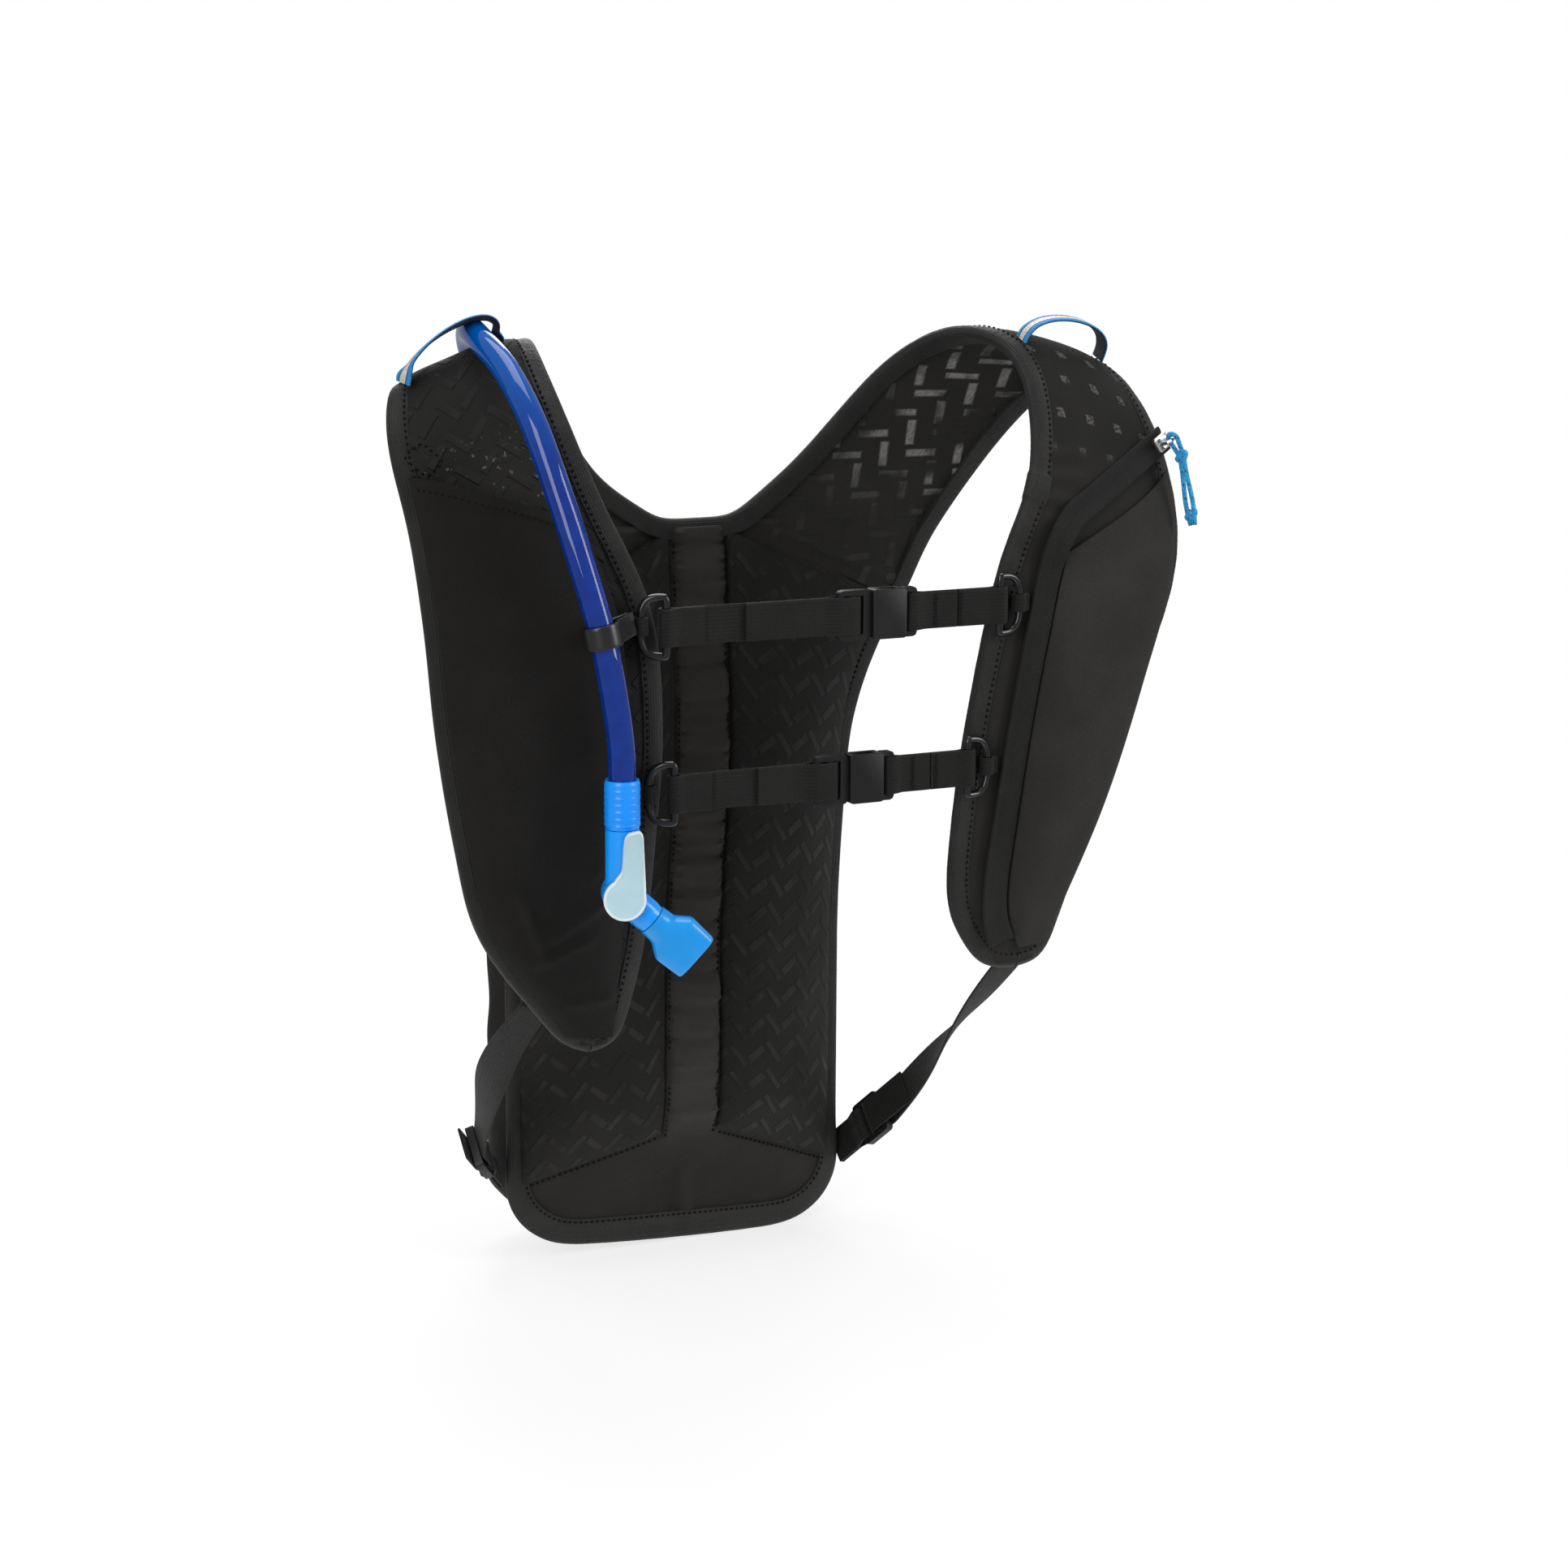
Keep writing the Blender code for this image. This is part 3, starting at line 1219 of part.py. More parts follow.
def make_bite_valve():
    # Soft mouthpiece: round root, then a shoulder that flares to a wide flat mouth
    stations = [(0, 5.9, 5.9), (0.26, 6.0, 6.0), (0.44, 6.9, 6.4), (0.60, 9.0, 6.2), (0.72, 9.6, 5.8), (1, 9.4, 5)]
    wide = BITE_WIDTH / 2 / (9.75 * MM)
    thick = BITE_THICK / 2 / (5.5 * MM)
    segments = 20
    bm = bmesh.new()
    rings = []
    for share, across, through_it in stations:
        turns = np.radians(np.linspace(0, 360, segments, endpoint=False))
        flare = smooth(share / 0.6)
        a = across * MM * (1 + (wide - 1) * flare)
        b = through_it * MM * (1 + (thick - 1) * flare)
        rings.append([bm.verts.new((a * math.cos(t), b * math.sin(t), share * BITE_LENGTH)) for t in turns])
    for lower, upper in zip(rings, rings[1:]):
        for k in range(segments):
            j = (k + 1) % segments
            bm.faces.new((lower[k], lower[j], upper[j], upper[k]))
    bm.faces.new(rings[0][::-1])
    bm.faces.new(rings[-1])
    turn = Matrix.Rotation(math.pi / 2 + OUTLET_FALL, 4, "Y")
    outlet = Vector((math.cos(OUTLET_FALL), 0, -math.sin(OUTLET_FALL)))
    bmesh.ops.transform(bm, matrix=Matrix.Translation(outlet * (OUTLET_LENGTH + GAP)) @ turn, verts=bm.verts[:])
    place_valve(mesh_object("bite_valve", bm, "bite_blue"))


# Reservoir and its fittings


def make_bladder():
    def sheet(filled):
        def place(u, v):
            a = 2 * u - 1
            b = 2 * v - 1
            width = BLADDER_HALF_WIDTH * (0.5 + 0.5 * math.sqrt(1 - b**4))
            x = a * width
            z = BLADDER_BOTTOM + (BLADDER_TOP - BLADDER_BOTTOM) * v
            swell = (BLADDER_THICK - BLADDER_RIM) * (1 - a * a) * (1 - b**4)
            return x + sway(z), behind_panel(x, z) - GAP + SEAT + (BLADDER_RIM + swell) * filled, z

        return place

    bladder = slab("reservoir_bladder", 8, 12, sheet(0), sheet(1), "clear_film")
    port_x, port_z = mm(*PORT_PLACE)
    far = 30 * MM
    cuts = [
        ("cap_recess", (0, CAP_HEIGHT), CAP_SEAT, COLLAR_FLANGE_RADIUS + GAP),
        ("cap_well", (0, CAP_HEIGHT), CAP_SEAT - WELL_DEPTH, COLLAR_RADIUS - COLLAR_WALL),
        ("port_recess", (port_x, port_z), PORT_SEAT, PORT_FLANGE_RADIUS + GAP),
    ]
    for name, (x, z), floor, radius in cuts:
        cutter = cylinder(name, (x, floor, z), (x, floor + far, z), radius, None, cutters, 20)
        boolean(bladder, cutter, "DIFFERENCE")


def face_rear(item, seat, x, z):
    # Turned pieces stand on the reservoir with their axis to the rear
    item.location = (x, seat, z)
    item.rotation_euler = (math.radians(-90), 0, 0)
    return item


def make_cap():
    inner = COLLAR_RADIUS - COLLAR_WALL
    flange_top = COLLAR_FLANGE
    neck_top = flange_top + COLLAR_RISE
    collar = [(inner, neck_top), (COLLAR_RADIUS, neck_top), (COLLAR_RADIUS, flange_top),
              (COLLAR_FLANGE_RADIUS, flange_top), (COLLAR_FLANGE_RADIUS, 0), (inner, 0), (inner, neck_top)]
    face_rear(turned("fill_collar", collar, "white_plastic", CAP_STEPS), CAP_SEAT + GAP, 0, CAP_HEIGHT)
    gasket_low = neck_top + GAP
    gasket_top = gasket_low + GASKET_THICK
    gasket = [(inner + 0.3 * MM, gasket_top), (COLLAR_RADIUS, gasket_top), (COLLAR_RADIUS, gasket_low),
              (inner + 0.3 * MM, gasket_low), (inner + 0.3 * MM, gasket_top)]
    face_rear(turned("cap_gasket", gasket, "gasket_rubber", CAP_STEPS), CAP_SEAT + GAP, 0, CAP_HEIGHT)
    roof = gasket_top + GAP
    # The flats of the faceted skirt clear the collar's corners as the cap turns
    skirt = (COLLAR_RADIUS + GAP) / math.cos(math.pi / CAP_STEPS)
    outside = skirt + CAP_WALL
    skirt_low = flange_top + 1 * MM
    profile = [(0, roof + CAP_WALL), (outside - 1.5 * MM, roof + CAP_WALL), (outside, roof + CAP_WALL - 1.5 * MM),
               (outside, skirt_low), (skirt, skirt_low), (skirt, roof), (0, roof)]
    cap = face_rear(turned("screw_cap", profile, "valve_blue", CAP_STEPS), CAP_SEAT + GAP, 0, CAP_HEIGHT)
    grip = box("cap_grip", (-outside * 0.8, -2.5 * MM, roof + CAP_WALL - 1 * MM),
               (outside * 0.8, 2.5 * MM, roof + CAP_WALL + CAP_GRIP), None, cutters)
    face_rear(grip, CAP_SEAT + GAP, 0, CAP_HEIGHT)
    boolean(cap, grip, "UNION")


def make_port():
    # Flanged elbow on the reservoir, and the tube's push-in connector with its release button
    x, z = mm(*PORT_PLACE)
    axis_y = PORT_SEAT + GAP + PORT_FLANGE + PORT_RADIUS + PORT_STAND
    flange = cylinder("port_fitting", (x, PORT_SEAT + GAP, z), (x, PORT_SEAT + GAP + PORT_FLANGE, z),
                      PORT_FLANGE_RADIUS, "white_plastic", segments=24)
    stub = cylinder("port_stub", (x, PORT_SEAT + GAP + PORT_FLANGE / 2, z), (x, axis_y, z), PORT_RADIUS * 0.8,
                    None, cutters, 16)
    top = z + PORT_RISE
    socket = cylinder("port_socket", (x, axis_y, z - PORT_RADIUS * 0.7), (x, axis_y, top), PORT_RADIUS, None, cutters)
    boolean(flange, stub, "UNION")
    boolean(flange, socket, "UNION")
    low = top + GAP
    connector = cylinder("tube_connector", (x, axis_y, low), (x, axis_y, low + CONNECTOR_LENGTH), CONNECTOR_RADIUS,
                         "white_plastic", end_radius=TUBE_DIAMETER / 2)
    button_z = low + CONNECTOR_LENGTH * 0.32
    button_floor = axis_y + CONNECTOR_RADIUS - BUTTON_DEPTH - BUTTON_TRAVEL
    pocket = cylinder("button_pocket", (x, button_floor, button_z), (x, axis_y + 3 * CONNECTOR_RADIUS, button_z),
                      BUTTON_RADIUS + GAP, None, cutters, 16)
    boolean(connector, pocket, "DIFFERENCE")
    cylinder("connector_button", (x, button_floor + BUTTON_TRAVEL + GAP, button_z),
             (x, axis_y + CONNECTOR_RADIUS + BUTTON_STAND, button_z), BUTTON_RADIUS, "valve_blue", segments=16)


def make_hanger():
    # Tab sewn behind the neck that the reservoir's top edge hangs on
    top = NECK_HEIGHT - 12 * MM
    path = []
    for z in np.linspace(top, BLADDER_TOP + GAP, 5):
        path.append((0, behind_panel(0, z) - GAP + SEAT + WEB_THICK / 2, z))
    ribbon("hanger_tab", path, (1, 0, 0), HANGER_WIDTH, WEB_THICK, "webbing")


make_panel()
make_sleeve()
for strap_side in SIDES:
    make_pad(strap_side)
    make_strap(strap_side)
    make_side_strap(strap_side)
    make_tube_loop(strap_side)
make_bindings()
make_stretch_pocket()
make_zip_pocket()
make_zip()
make_slider()
make_pull()
for strap_name in STERNUM_HEIGHT:
    make_sternum_strap(strap_name)
make_tube()
make_clip()
make_valve_sleeve()
make_valve_body()
make_lever()
make_bite_valve()
make_bladder()
make_cap()
make_port()
make_hanger()
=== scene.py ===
import bmesh
import bpy
import numpy as np
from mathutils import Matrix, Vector


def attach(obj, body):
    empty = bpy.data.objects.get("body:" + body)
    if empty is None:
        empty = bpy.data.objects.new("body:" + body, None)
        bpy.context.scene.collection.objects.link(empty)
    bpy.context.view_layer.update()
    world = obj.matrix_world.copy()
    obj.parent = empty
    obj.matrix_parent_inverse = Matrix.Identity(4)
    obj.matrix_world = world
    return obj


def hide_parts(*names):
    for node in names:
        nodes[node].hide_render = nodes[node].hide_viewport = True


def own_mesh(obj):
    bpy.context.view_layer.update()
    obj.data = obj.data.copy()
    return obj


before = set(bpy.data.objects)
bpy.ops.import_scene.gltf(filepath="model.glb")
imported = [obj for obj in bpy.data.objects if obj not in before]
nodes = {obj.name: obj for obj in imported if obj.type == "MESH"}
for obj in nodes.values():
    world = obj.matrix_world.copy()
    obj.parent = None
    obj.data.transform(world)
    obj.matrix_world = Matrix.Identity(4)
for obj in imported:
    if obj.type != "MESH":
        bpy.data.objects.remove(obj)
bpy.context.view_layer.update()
mm = 0.001
tau = 2 * np.pi
sides = {"left": 1, "right": -1}  # the wearer's left is +x

# Camera, light and floor

view = {
    "target": (0, -0.020, -0.167), "distance": 1.4, "azimuth": -25.8, "elevation": 11.5,
    "roll": 0.3, "lens": 78.52,
}


def makeCamera():
    # Stands on a sphere round the target, looking at its middle
    azimuth, elevation = np.radians(view["azimuth"]), np.radians(view["elevation"])
    back = Vector((np.sin(azimuth) * np.cos(elevation), -np.cos(azimuth) * np.cos(elevation),
                   np.sin(elevation)))
    camera = bpy.data.objects.new("photoCamera", bpy.data.cameras.new("photoCamera"))
    bpy.context.scene.collection.objects.link(camera)
    camera.data.lens = view["lens"]
    camera.data.sensor_width = 36
    camera.location = Vector(view["target"]) + back * view["distance"]
    turn = (-back).to_track_quat("-Z", "Y").to_matrix().to_4x4()
    roll = np.radians(view["roll"])
    camera.rotation_euler = (turn @ turn.Rotation(roll, 4, "Z")).to_euler()
    bpy.context.scene.camera = camera


makeCamera()
bpy.context.scene.view_settings.view_transform = "Standard"
print("camera placed")


# Shader wiring


class Wire:
    # A shader socket: sums and products of wires add Math nodes, node() adds any other node

    def __init__(self, tree, socket=None):
        self.tree = tree
        self.socket = socket

    def node(self, kind, settings=None, inputs=None, output=0):
        made = self.tree.nodes.new(kind)
        for key, value in (settings or {}).items():
            if key == "stops":
                ramp = made.color_ramp
                while len(ramp.elements) < len(value):
                    ramp.elements.new(0.5)
                for stop, (place, colour) in zip(ramp.elements, value):
                    stop.position = place
                    stop.color = colour
            else:
                setattr(made, key, value)
        for key, value in (inputs or {}).items():
            self.feed(made.inputs[key], value)
        return Wire(self.tree, made.outputs[output])

    def feed(self, target, value):
        if isinstance(value, Wire):
            self.tree.links.new(value.socket, target)
        else:
            target.default_value = value

    def maths(self, operation, *others):
        return self.node("ShaderNodeMath", {"operation": operation}, dict(enumerate((self, *others))))

    def __add__(self, other):
        return self.maths("ADD", other)

    def __sub__(self, other):
        return self.maths("SUBTRACT", other)

    def __rsub__(self, other):
        return self.node("ShaderNodeMath", {"operation": "SUBTRACT"}, {0: other, 1: self})

    def __mul__(self, other):
        return self.maths("MULTIPLY", other)

    def __truediv__(self, other):
        return self.maths("DIVIDE", other)

    def __mod__(self, other):
        return self.maths("FLOORED_MODULO", other)

    __radd__ = __add__
    __rmul__ = __mul__

    def size(self):
        return self.maths("ABSOLUTE")

    def sine(self):
        return self.maths("SINE")

    def least(self, other):
        return self.maths("MINIMUM", other)

    def most(self, other):
        return self.maths("MAXIMUM", other)

    def rise(self, low, high):
        # 0 below low, 1 above high, smooth between; the other way round if low is above high
        return self.node("ShaderNodeMapRange", {"interpolation_type": "SMOOTHSTEP"},
                         {"Value": self, "From Min": low, "From Max": high})

    def blend(self, first, second):
        # Colour that goes from the first to the second with this wire
        colours = [c if isinstance(c, Wire) else (*c, 1) for c in (first, second)]
        return self.node("ShaderNodeMix", {"data_type": "RGBA"}, {0: self, 6: colours[0], 7: colours[1]}, 2)

    def flat(self):
        # The piece's own map, in millimetres across and along
        uv = self.node("ShaderNodeUVMap", {"uv_map": "flat"})
        return [self.node("ShaderNodeSeparateXYZ", None, {0: uv}, k) for k in (0, 1)]

    def place(self):
        return self.node("ShaderNodeTexCoord", None, None, 3)

    def vector(self, x, y, z=0):
        return self.node("ShaderNodeCombineXYZ", None, {0: x, 1: y, 2: z})

    def noise(self, scale, detail=3, where=None, roughness=0.55):
        return self.node("ShaderNodeTexNoise", None, {
            "Vector": where or self.place(), "Scale": scale, "Detail": detail, "Roughness": roughness})

    def bump(self, height, depth, strength=1):
        # depth in millimetres for a height of 1
        return self.node("ShaderNodeBump", None,
                         {"Strength": strength, "Distance": depth * mm, "Height": height})


def makeFinish(name, recipe, **fixed):
    # recipe gives the wires that vary, fixed holds the sockets that are the same all over
    finish = bpy.data.materials.new(name)
    finish.use_nodes = True
    shader = finish.node_tree.nodes["Principled BSDF"]
    for key, value in fixed.items():
        shader.inputs[key.replace("_", " ")].default_value = value
    start = Wire(finish.node_tree)
    for key, value in recipe(start).items():
        start.feed(shader.inputs[key], value)
    return finish


# Finishes

fabric = {"thread": 0.62, "relief": 0.16, "gloss": 0.14, "fuzz": 0.03, "black": (0.0105, 0.0097, 0.0086)}


def clothFinish(name, colour, worn, thread=fabric["thread"], relief=fabric["relief"], rough=0.72, channel=None):
    # Plain weave: threads over and under, with broad soft changes of tone; the spine channel may be painted
    # paler, a painted light that lifts the shade it gets between the pads and straps
    def recipe(w):
        u, v = w.flat()
        over = (u * (tau / thread)).sine() * (v * (tau / thread)).sine()
        slub = w.noise(900, 2)
        patch = w.noise(38, 4)
        height = over * 0.5 + slub * 0.9
        tone = patch.rise(0.35, 0.75).blend(colour, worn)
        if channel:
            x, z = (w.node("ShaderNodeSeparateXYZ", None, {0: w.place()}, k) for k in (0, 2))
            # Painted light: the spine channel between the pads is painted paler to lift the shade that falls
            # there
            paintedChannelLight = (x + 0.004).size().rise(0.0170, 0.0120) * z.rise(-0.352, -0.325)
            tone = paintedChannelLight.blend(tone, channel)
        return {
            "Base Color": tone,
            "Roughness": rough + (slub - 0.5) * 0.25,
            "Normal": w.bump(height, relief),
        }

    return makeFinish(name, recipe, Sheen_Weight=fabric["fuzz"], Specular_IOR_Level=fabric["gloss"])


bars = {"half": 0.59, "thick": 0.165}


def barMask(u, v, turn, step):
    # Short bars laid in turn along and across: those along repeat every 3 steps in each row and
    # move by one step from row to row, and those across do the same in each column
    turn = np.radians(turn)
    x = (u * np.cos(turn) + v * np.sin(turn)) / step
    y = (v * np.cos(turn) - u * np.sin(turn)) / step
    row, column = y.maths("ROUND"), x.maths("ROUND")
    alongBar = ((x - row + 1.5) % 3 - 1.5).size()
    acrossBar = ((y - column) % 3 - 1.5).size()
    soft = 0.05

    def bar(length, width):
        ends = length.rise(bars["half"] + soft, bars["half"] - soft)
        return ends.least(width.rise(bars["thick"] + soft, bars["thick"] - soft))

    return bar(alongBar, (y - row).size()).most(bar(acrossBar, (x - column).size()))


def barMeshFinish(name, colour, worn, printAndSheen, turn, gloss, step, fade=None, glintSpan=None):
    # Open mesh with raised, glossier bars printed on it, the print thin in places and streaked; the bars take
    # the print's tone, and on the wing a near-white painted reflection; the print may fade in between two
    # distances along the piece, and painted glints may be laid as pale flecks between two others
    def recipe(w):
        u, v = w.flat()
        mask = barMask(u, v, turn, step)
        hole = (u * (tau / 1.7)).sine() * (v * (tau / 1.7)).sine()
        streak = w.noise(1, 2, w.vector(u * 1.9, v * 0.35))
        patch = w.noise(52, 2).rise(0.36, 0.62)
        printed = mask * patch * (0.45 + streak.rise(0.35, 0.65) * 0.55)
        printed = printed * (0.1 + v.rise(*fade) * 0.9) if fade else printed
        height = hole * 0.18 * (1 - mask) + mask * 1.6 + w.noise(1400, 2) * 0.3
        tone = printed.blend(w.noise(30, 3).rise(0.35, 0.8).blend(colour, worn), printAndSheen)
        if glintSpan:
            # Painted glints: pale flecks painted into the colour, standing in for light catching the cloth
            fleckAndGlint = w.noise(430, 1).rise(0.66, 0.72) * v.rise(glintSpan[0], glintSpan[0] + 14)
            fleckAndGlint = fleckAndGlint * v.rise(glintSpan[1] + 6, glintSpan[1])
            tone = fleckAndGlint.blend(tone, (0.070, 0.068, 0.064))
        return {
            "Base Color": tone,
            "Roughness": 0.80 - printed * gloss,
            "Normal": w.bump(height, 0.40),
        }

    return makeFinish(name, recipe, Sheen_Weight=fabric["fuzz"], Specular_IOR_Level=0.25)


def dotClothFinish():
    # Shoulder cloth with a few small glossy dots near the top, plain and paler below them
    def recipe(w):
        u, v = w.flat()
        step = 14.5
        row = (v / step).maths("ROUND")
        across = ((u / step + row * 0.5 + 0.5) % 1 - 0.5).size()
        along = (v / step - row).size()
        dot = across.rise(0.15, 0.10).least(along.rise(0.15, 0.10)) * v.rise(138, 146) * v.rise(206, 198)
        thread = (u * (tau / 0.62)).sine() * (v * (tau / 0.62)).sine()
        slub = w.noise(900, 2)
        printAndSheen = dot * slub.rise(0.35, 0.6)
        tone = w.noise(36, 4).rise(0.35, 0.75).blend((0.0064, 0.0060, 0.0053), (0.0098, 0.0092, 0.0082))
        tone = v.rise(196, 220).blend(tone, (0.0140, 0.0132, 0.0120))
        return {
            "Base Color": printAndSheen.blend(tone, (0.085, 0.084, 0.080)),
            "Roughness": 0.78 - printAndSheen * 0.40,
            "Normal": w.bump(thread * 0.4 + slub * 0.8 + dot * 1.5, 0.18),
        }

    return makeFinish("dotCloth", recipe, Sheen_Weight=fabric["fuzz"], Specular_IOR_Level=0.2)


def tapeFinish(name, colour, worn, rib, cross, rough, gloss=0.2):
    # Woven tape: ribs along its length, finer picks across, lighter where it is worn
    def recipe(w):
        u, v = w.flat()
        ribs = (u * (tau / rib)).sine()
        picks = (v * (tau / cross) + ribs * 1.6).sine()
        slub = w.noise(700, 3)
        tone = w.noise(55, 4).rise(0.3, 0.75)
        return {
            "Base Color": tone.blend(colour, worn),
            "Roughness": rough + (slub - 0.5) * 0.3,
            "Normal": w.bump(ribs * 0.5 + picks * 0.4 + slub * 0.5, 0.14),
        }

    return makeFinish(name, recipe, Sheen_Weight=0.05, Specular_IOR_Level=gloss)


def mouldedFinish(name, colour, rough, grain=0.03, scale=500, **fixed):
    # Moulded plastic or rubber: fine grain, and gloss that wears unevenly
    def recipe(w):
        skin = w.noise(scale, 3)
        wear = w.noise(45, 4)
        lighter = tuple(min(c * 1.35 + 0.003, 1) for c in colour)
        return {
            "Base Color": (wear.rise(0.4, 0.8) * 0.5).blend(colour, lighter),
            "Roughness": rough + (wear - 0.5) * 0.25,
            "Normal": w.bump(skin, grain),
        }

    return makeFinish(name, recipe, **fixed)


def loopTapeFinish():
    # Edges in blue, a pale reflective stripe along the middle, fine cross ribs
    def recipe(w):
        u, v = w.flat()
        middle = (u / 5).size()
        stripe = middle.rise(0.44, 0.36)
        edge = middle.rise(0.60, 0.52)
        picks = (v * (tau / 0.8)).sine()
        glint = w.noise(1500, 2)
        blue = glint.rise(0.3, 0.8).blend((0.006, 0.17, 0.50), (0.012, 0.30, 0.68))
        dark = edge.blend(blue, (0.02, 0.05, 0.09))
        return {
            "Base Color": stripe.blend(
                dark, glint.rise(0.3, 0.7).blend((0.42, 0.39, 0.34), (0.68, 0.64, 0.58))),
            "Roughness": 0.6 - stripe * 0.25 + (glint - 0.5) * 0.2,
            "Normal": w.bump(picks * 0.6 + glint * 0.5, 0.12),
        }

    return makeFinish("loopTape", recipe, Specular_IOR_Level=0.4)


def flexCordFinish():
    # Braided cord: diagonal strands, with dark flecks woven in
    def recipe(w):
        u, v = w.flat()
        lay = (u * (tau / 1.36) + v * (tau / 1.9)).sine()
        counter = (u * (tau / 1.36) - v * (tau / 1.9)).sine()
        fleckAndGlint = (v / 5.5 + u / 8.0) % 1
        dark = fleckAndGlint.rise(0.80, 0.84) * counter.rise(-0.1, 0.3)
        tone = w.noise(600, 2).rise(0.3, 0.7).blend((0.006, 0.27, 0.62), (0.02, 0.42, 0.80))
        return {
            "Base Color": dark.blend(tone, (0.006, 0.02, 0.05)),
            "Roughness": 0.62 + lay * 0.06,
            "Normal": w.bump(lay.most(counter), 0.22),
        }

    return makeFinish("flexCord", recipe, Sheen_Weight=0.2, Specular_IOR_Level=0.35)


def hoseFinish():
    # Clear blue tube with faint marks of handling, paler where light comes through it over the shoulder
    def recipe(w):
        v = w.flat()[1]
        marks = w.noise(160, 4)
        shoulder = v.rise(300, 350) * v.rise(455, 395)
        deep = marks.rise(0.35, 0.7).blend((0.0004, 0.048, 0.38), (0.0004, 0.037, 0.31))
        return {
            "Base Color": shoulder.blend(deep, (0.0006, 0.125, 0.53)),
            "Roughness": 0.02 + marks.rise(0.55, 0.8) * 0.06,
        }

    return makeFinish("hoseWall", recipe, Transmission_Weight=0.45, IOR=1.46, Specular_IOR_Level=0.55)


finishes = {
    "black": clothFinish("packCloth", fabric["black"], (0.0160, 0.0150, 0.0134)),
    # The channel colour here is painted light: a paler spine channel that makes up for the shade between the
    # pads
    "panel": clothFinish("panelCloth", (0.0165, 0.0153, 0.0139), (0.0215, 0.0200, 0.0183), 0.7,
                         channel=(0.036, 0.0336, 0.0306)),
    "pocket": clothFinish("pocketCloth", (0.0215, 0.0204, 0.0186), (0.0280, 0.0266, 0.0243), 0.8),
    "stretch": clothFinish("stretchCloth", (0.0078, 0.0070, 0.0062), (0.0102, 0.0093, 0.0083), 0.5),
    "mesh": barMeshFinish("barMesh", (0.0066, 0.0061, 0.0054), (0.0105, 0.0097, 0.0087),
                          (0.0145, 0.0135, 0.0122), 45, 0.26, 8.8),
    # The wing's bars are painted near white: a painted reflection of the lamps on the strap's inner face
    "wing": barMeshFinish("wingMesh", (0.0110, 0.0102, 0.0092), (0.0160, 0.0150, 0.0137),
                          (0.20, 0.197, 0.19), 62, 0.42, 10.4, fade=(26, 64)),
    # On the strap's outer face, the pale flecks between 172 and 206 mm along are painted glints
    "outer": barMeshFinish("strapCloth", (0.0066, 0.0061, 0.0054), (0.0112, 0.0104, 0.0093),
                           (0.0100, 0.0094, 0.0085), 45, 0.12, 8.8, glintSpan=(172, 206)),
    "dots": dotClothFinish(),
    "tape": tapeFinish("bindingTape", (0.0068, 0.0063, 0.0056), (0.0130, 0.0122, 0.0110), 1.1, 0.7, 0.50, 0.26),
    "web": tapeFinish("webbing", (0.0048, 0.0044, 0.0039), (0.0080, 0.0075, 0.0067), 1.5, 1.0, 0.62, 0.18),
    "thread": tapeFinish("thread", (0.0010, 0.0010, 0.0009), (0.0022, 0.0021, 0.0019), 0.4, 0.5, 0.6, 0.1),
    "zipTape": tapeFinish("zipTape", (0.0058, 0.0054, 0.0048), (0.0092, 0.0086, 0.0078), 0.9, 0.6, 0.55, 0.18),
    "plastic": mouldedFinish("buckleNylon", (0.0042, 0.0041, 0.0039), 0.44, Specular_IOR_Level=0.32),
    "ring": mouldedFinish("ringNylon", (0.0055, 0.0054, 0.0052), 0.16, 0.01),
    "rubber": mouldedFinish("clipRubber", (0.0070, 0.0068, 0.0066), 0.30, 0.05, 350),
    "loop": loopTapeFinish(),
    "loopBack": tapeFinish("loopBack", (0.006, 0.009, 0.014), (0.011, 0.016, 0.024), 0.9, 0.8, 0.55),
    "cord": flexCordFinish(),
    "hose": hoseFinish(),
    "bore": mouldedFinish("boreWater", (0.006, 0.13, 0.58), 0.2, Transmission_Weight=0.3),
    "collar": mouldedFinish("collarBlue", (0.0005, 0.27, 0.93), 0.34, 0.01, Coat_Weight=0.1),
    "valve": mouldedFinish("valveBlue", (0.0005, 0.30, 0.93), 0.30, 0.01, Coat_Weight=0.15),
    "bite": mouldedFinish("biteSilicone", (0.0005, 0.27, 0.72), 0.30, 0.02, Coat_Weight=0.2),
    "lever": mouldedFinish("leverGrey", (0.42, 0.60, 0.66), 0.32, 0.01),
    "leverRim": mouldedFinish("leverRim", (0.66, 0.74, 0.76), 0.3, 0.01),
    "metal": mouldedFinish("sliderMetal", (0.56, 0.56, 0.54), 0.3, 0.02, Metallic=1.0),
    "film": mouldedFinish("bladderFilm", (0.30, 0.46, 0.62), 0.18, 0.02, Transmission_Weight=0.45),
    "white": mouldedFinish("fittingWhite", (0.72, 0.74, 0.75), 0.35, 0.01),
    "gasket": mouldedFinish("gasketRubber", (0.05, 0.05, 0.054), 0.55, 0.03),
}
print("finishes made")


# Shapes, in millimetres


def vec(*xyz):
    return np.array(xyz, float)


def unit(a):
    return a / np.linalg.norm(a, axis=-1, keepdims=True)


def ease(x):
    # Smooth step: 3x2 - 2x3 between 0 and 1
    x = np.clip(x, 0, 1)
    return x * x * (3 - 2 * x)


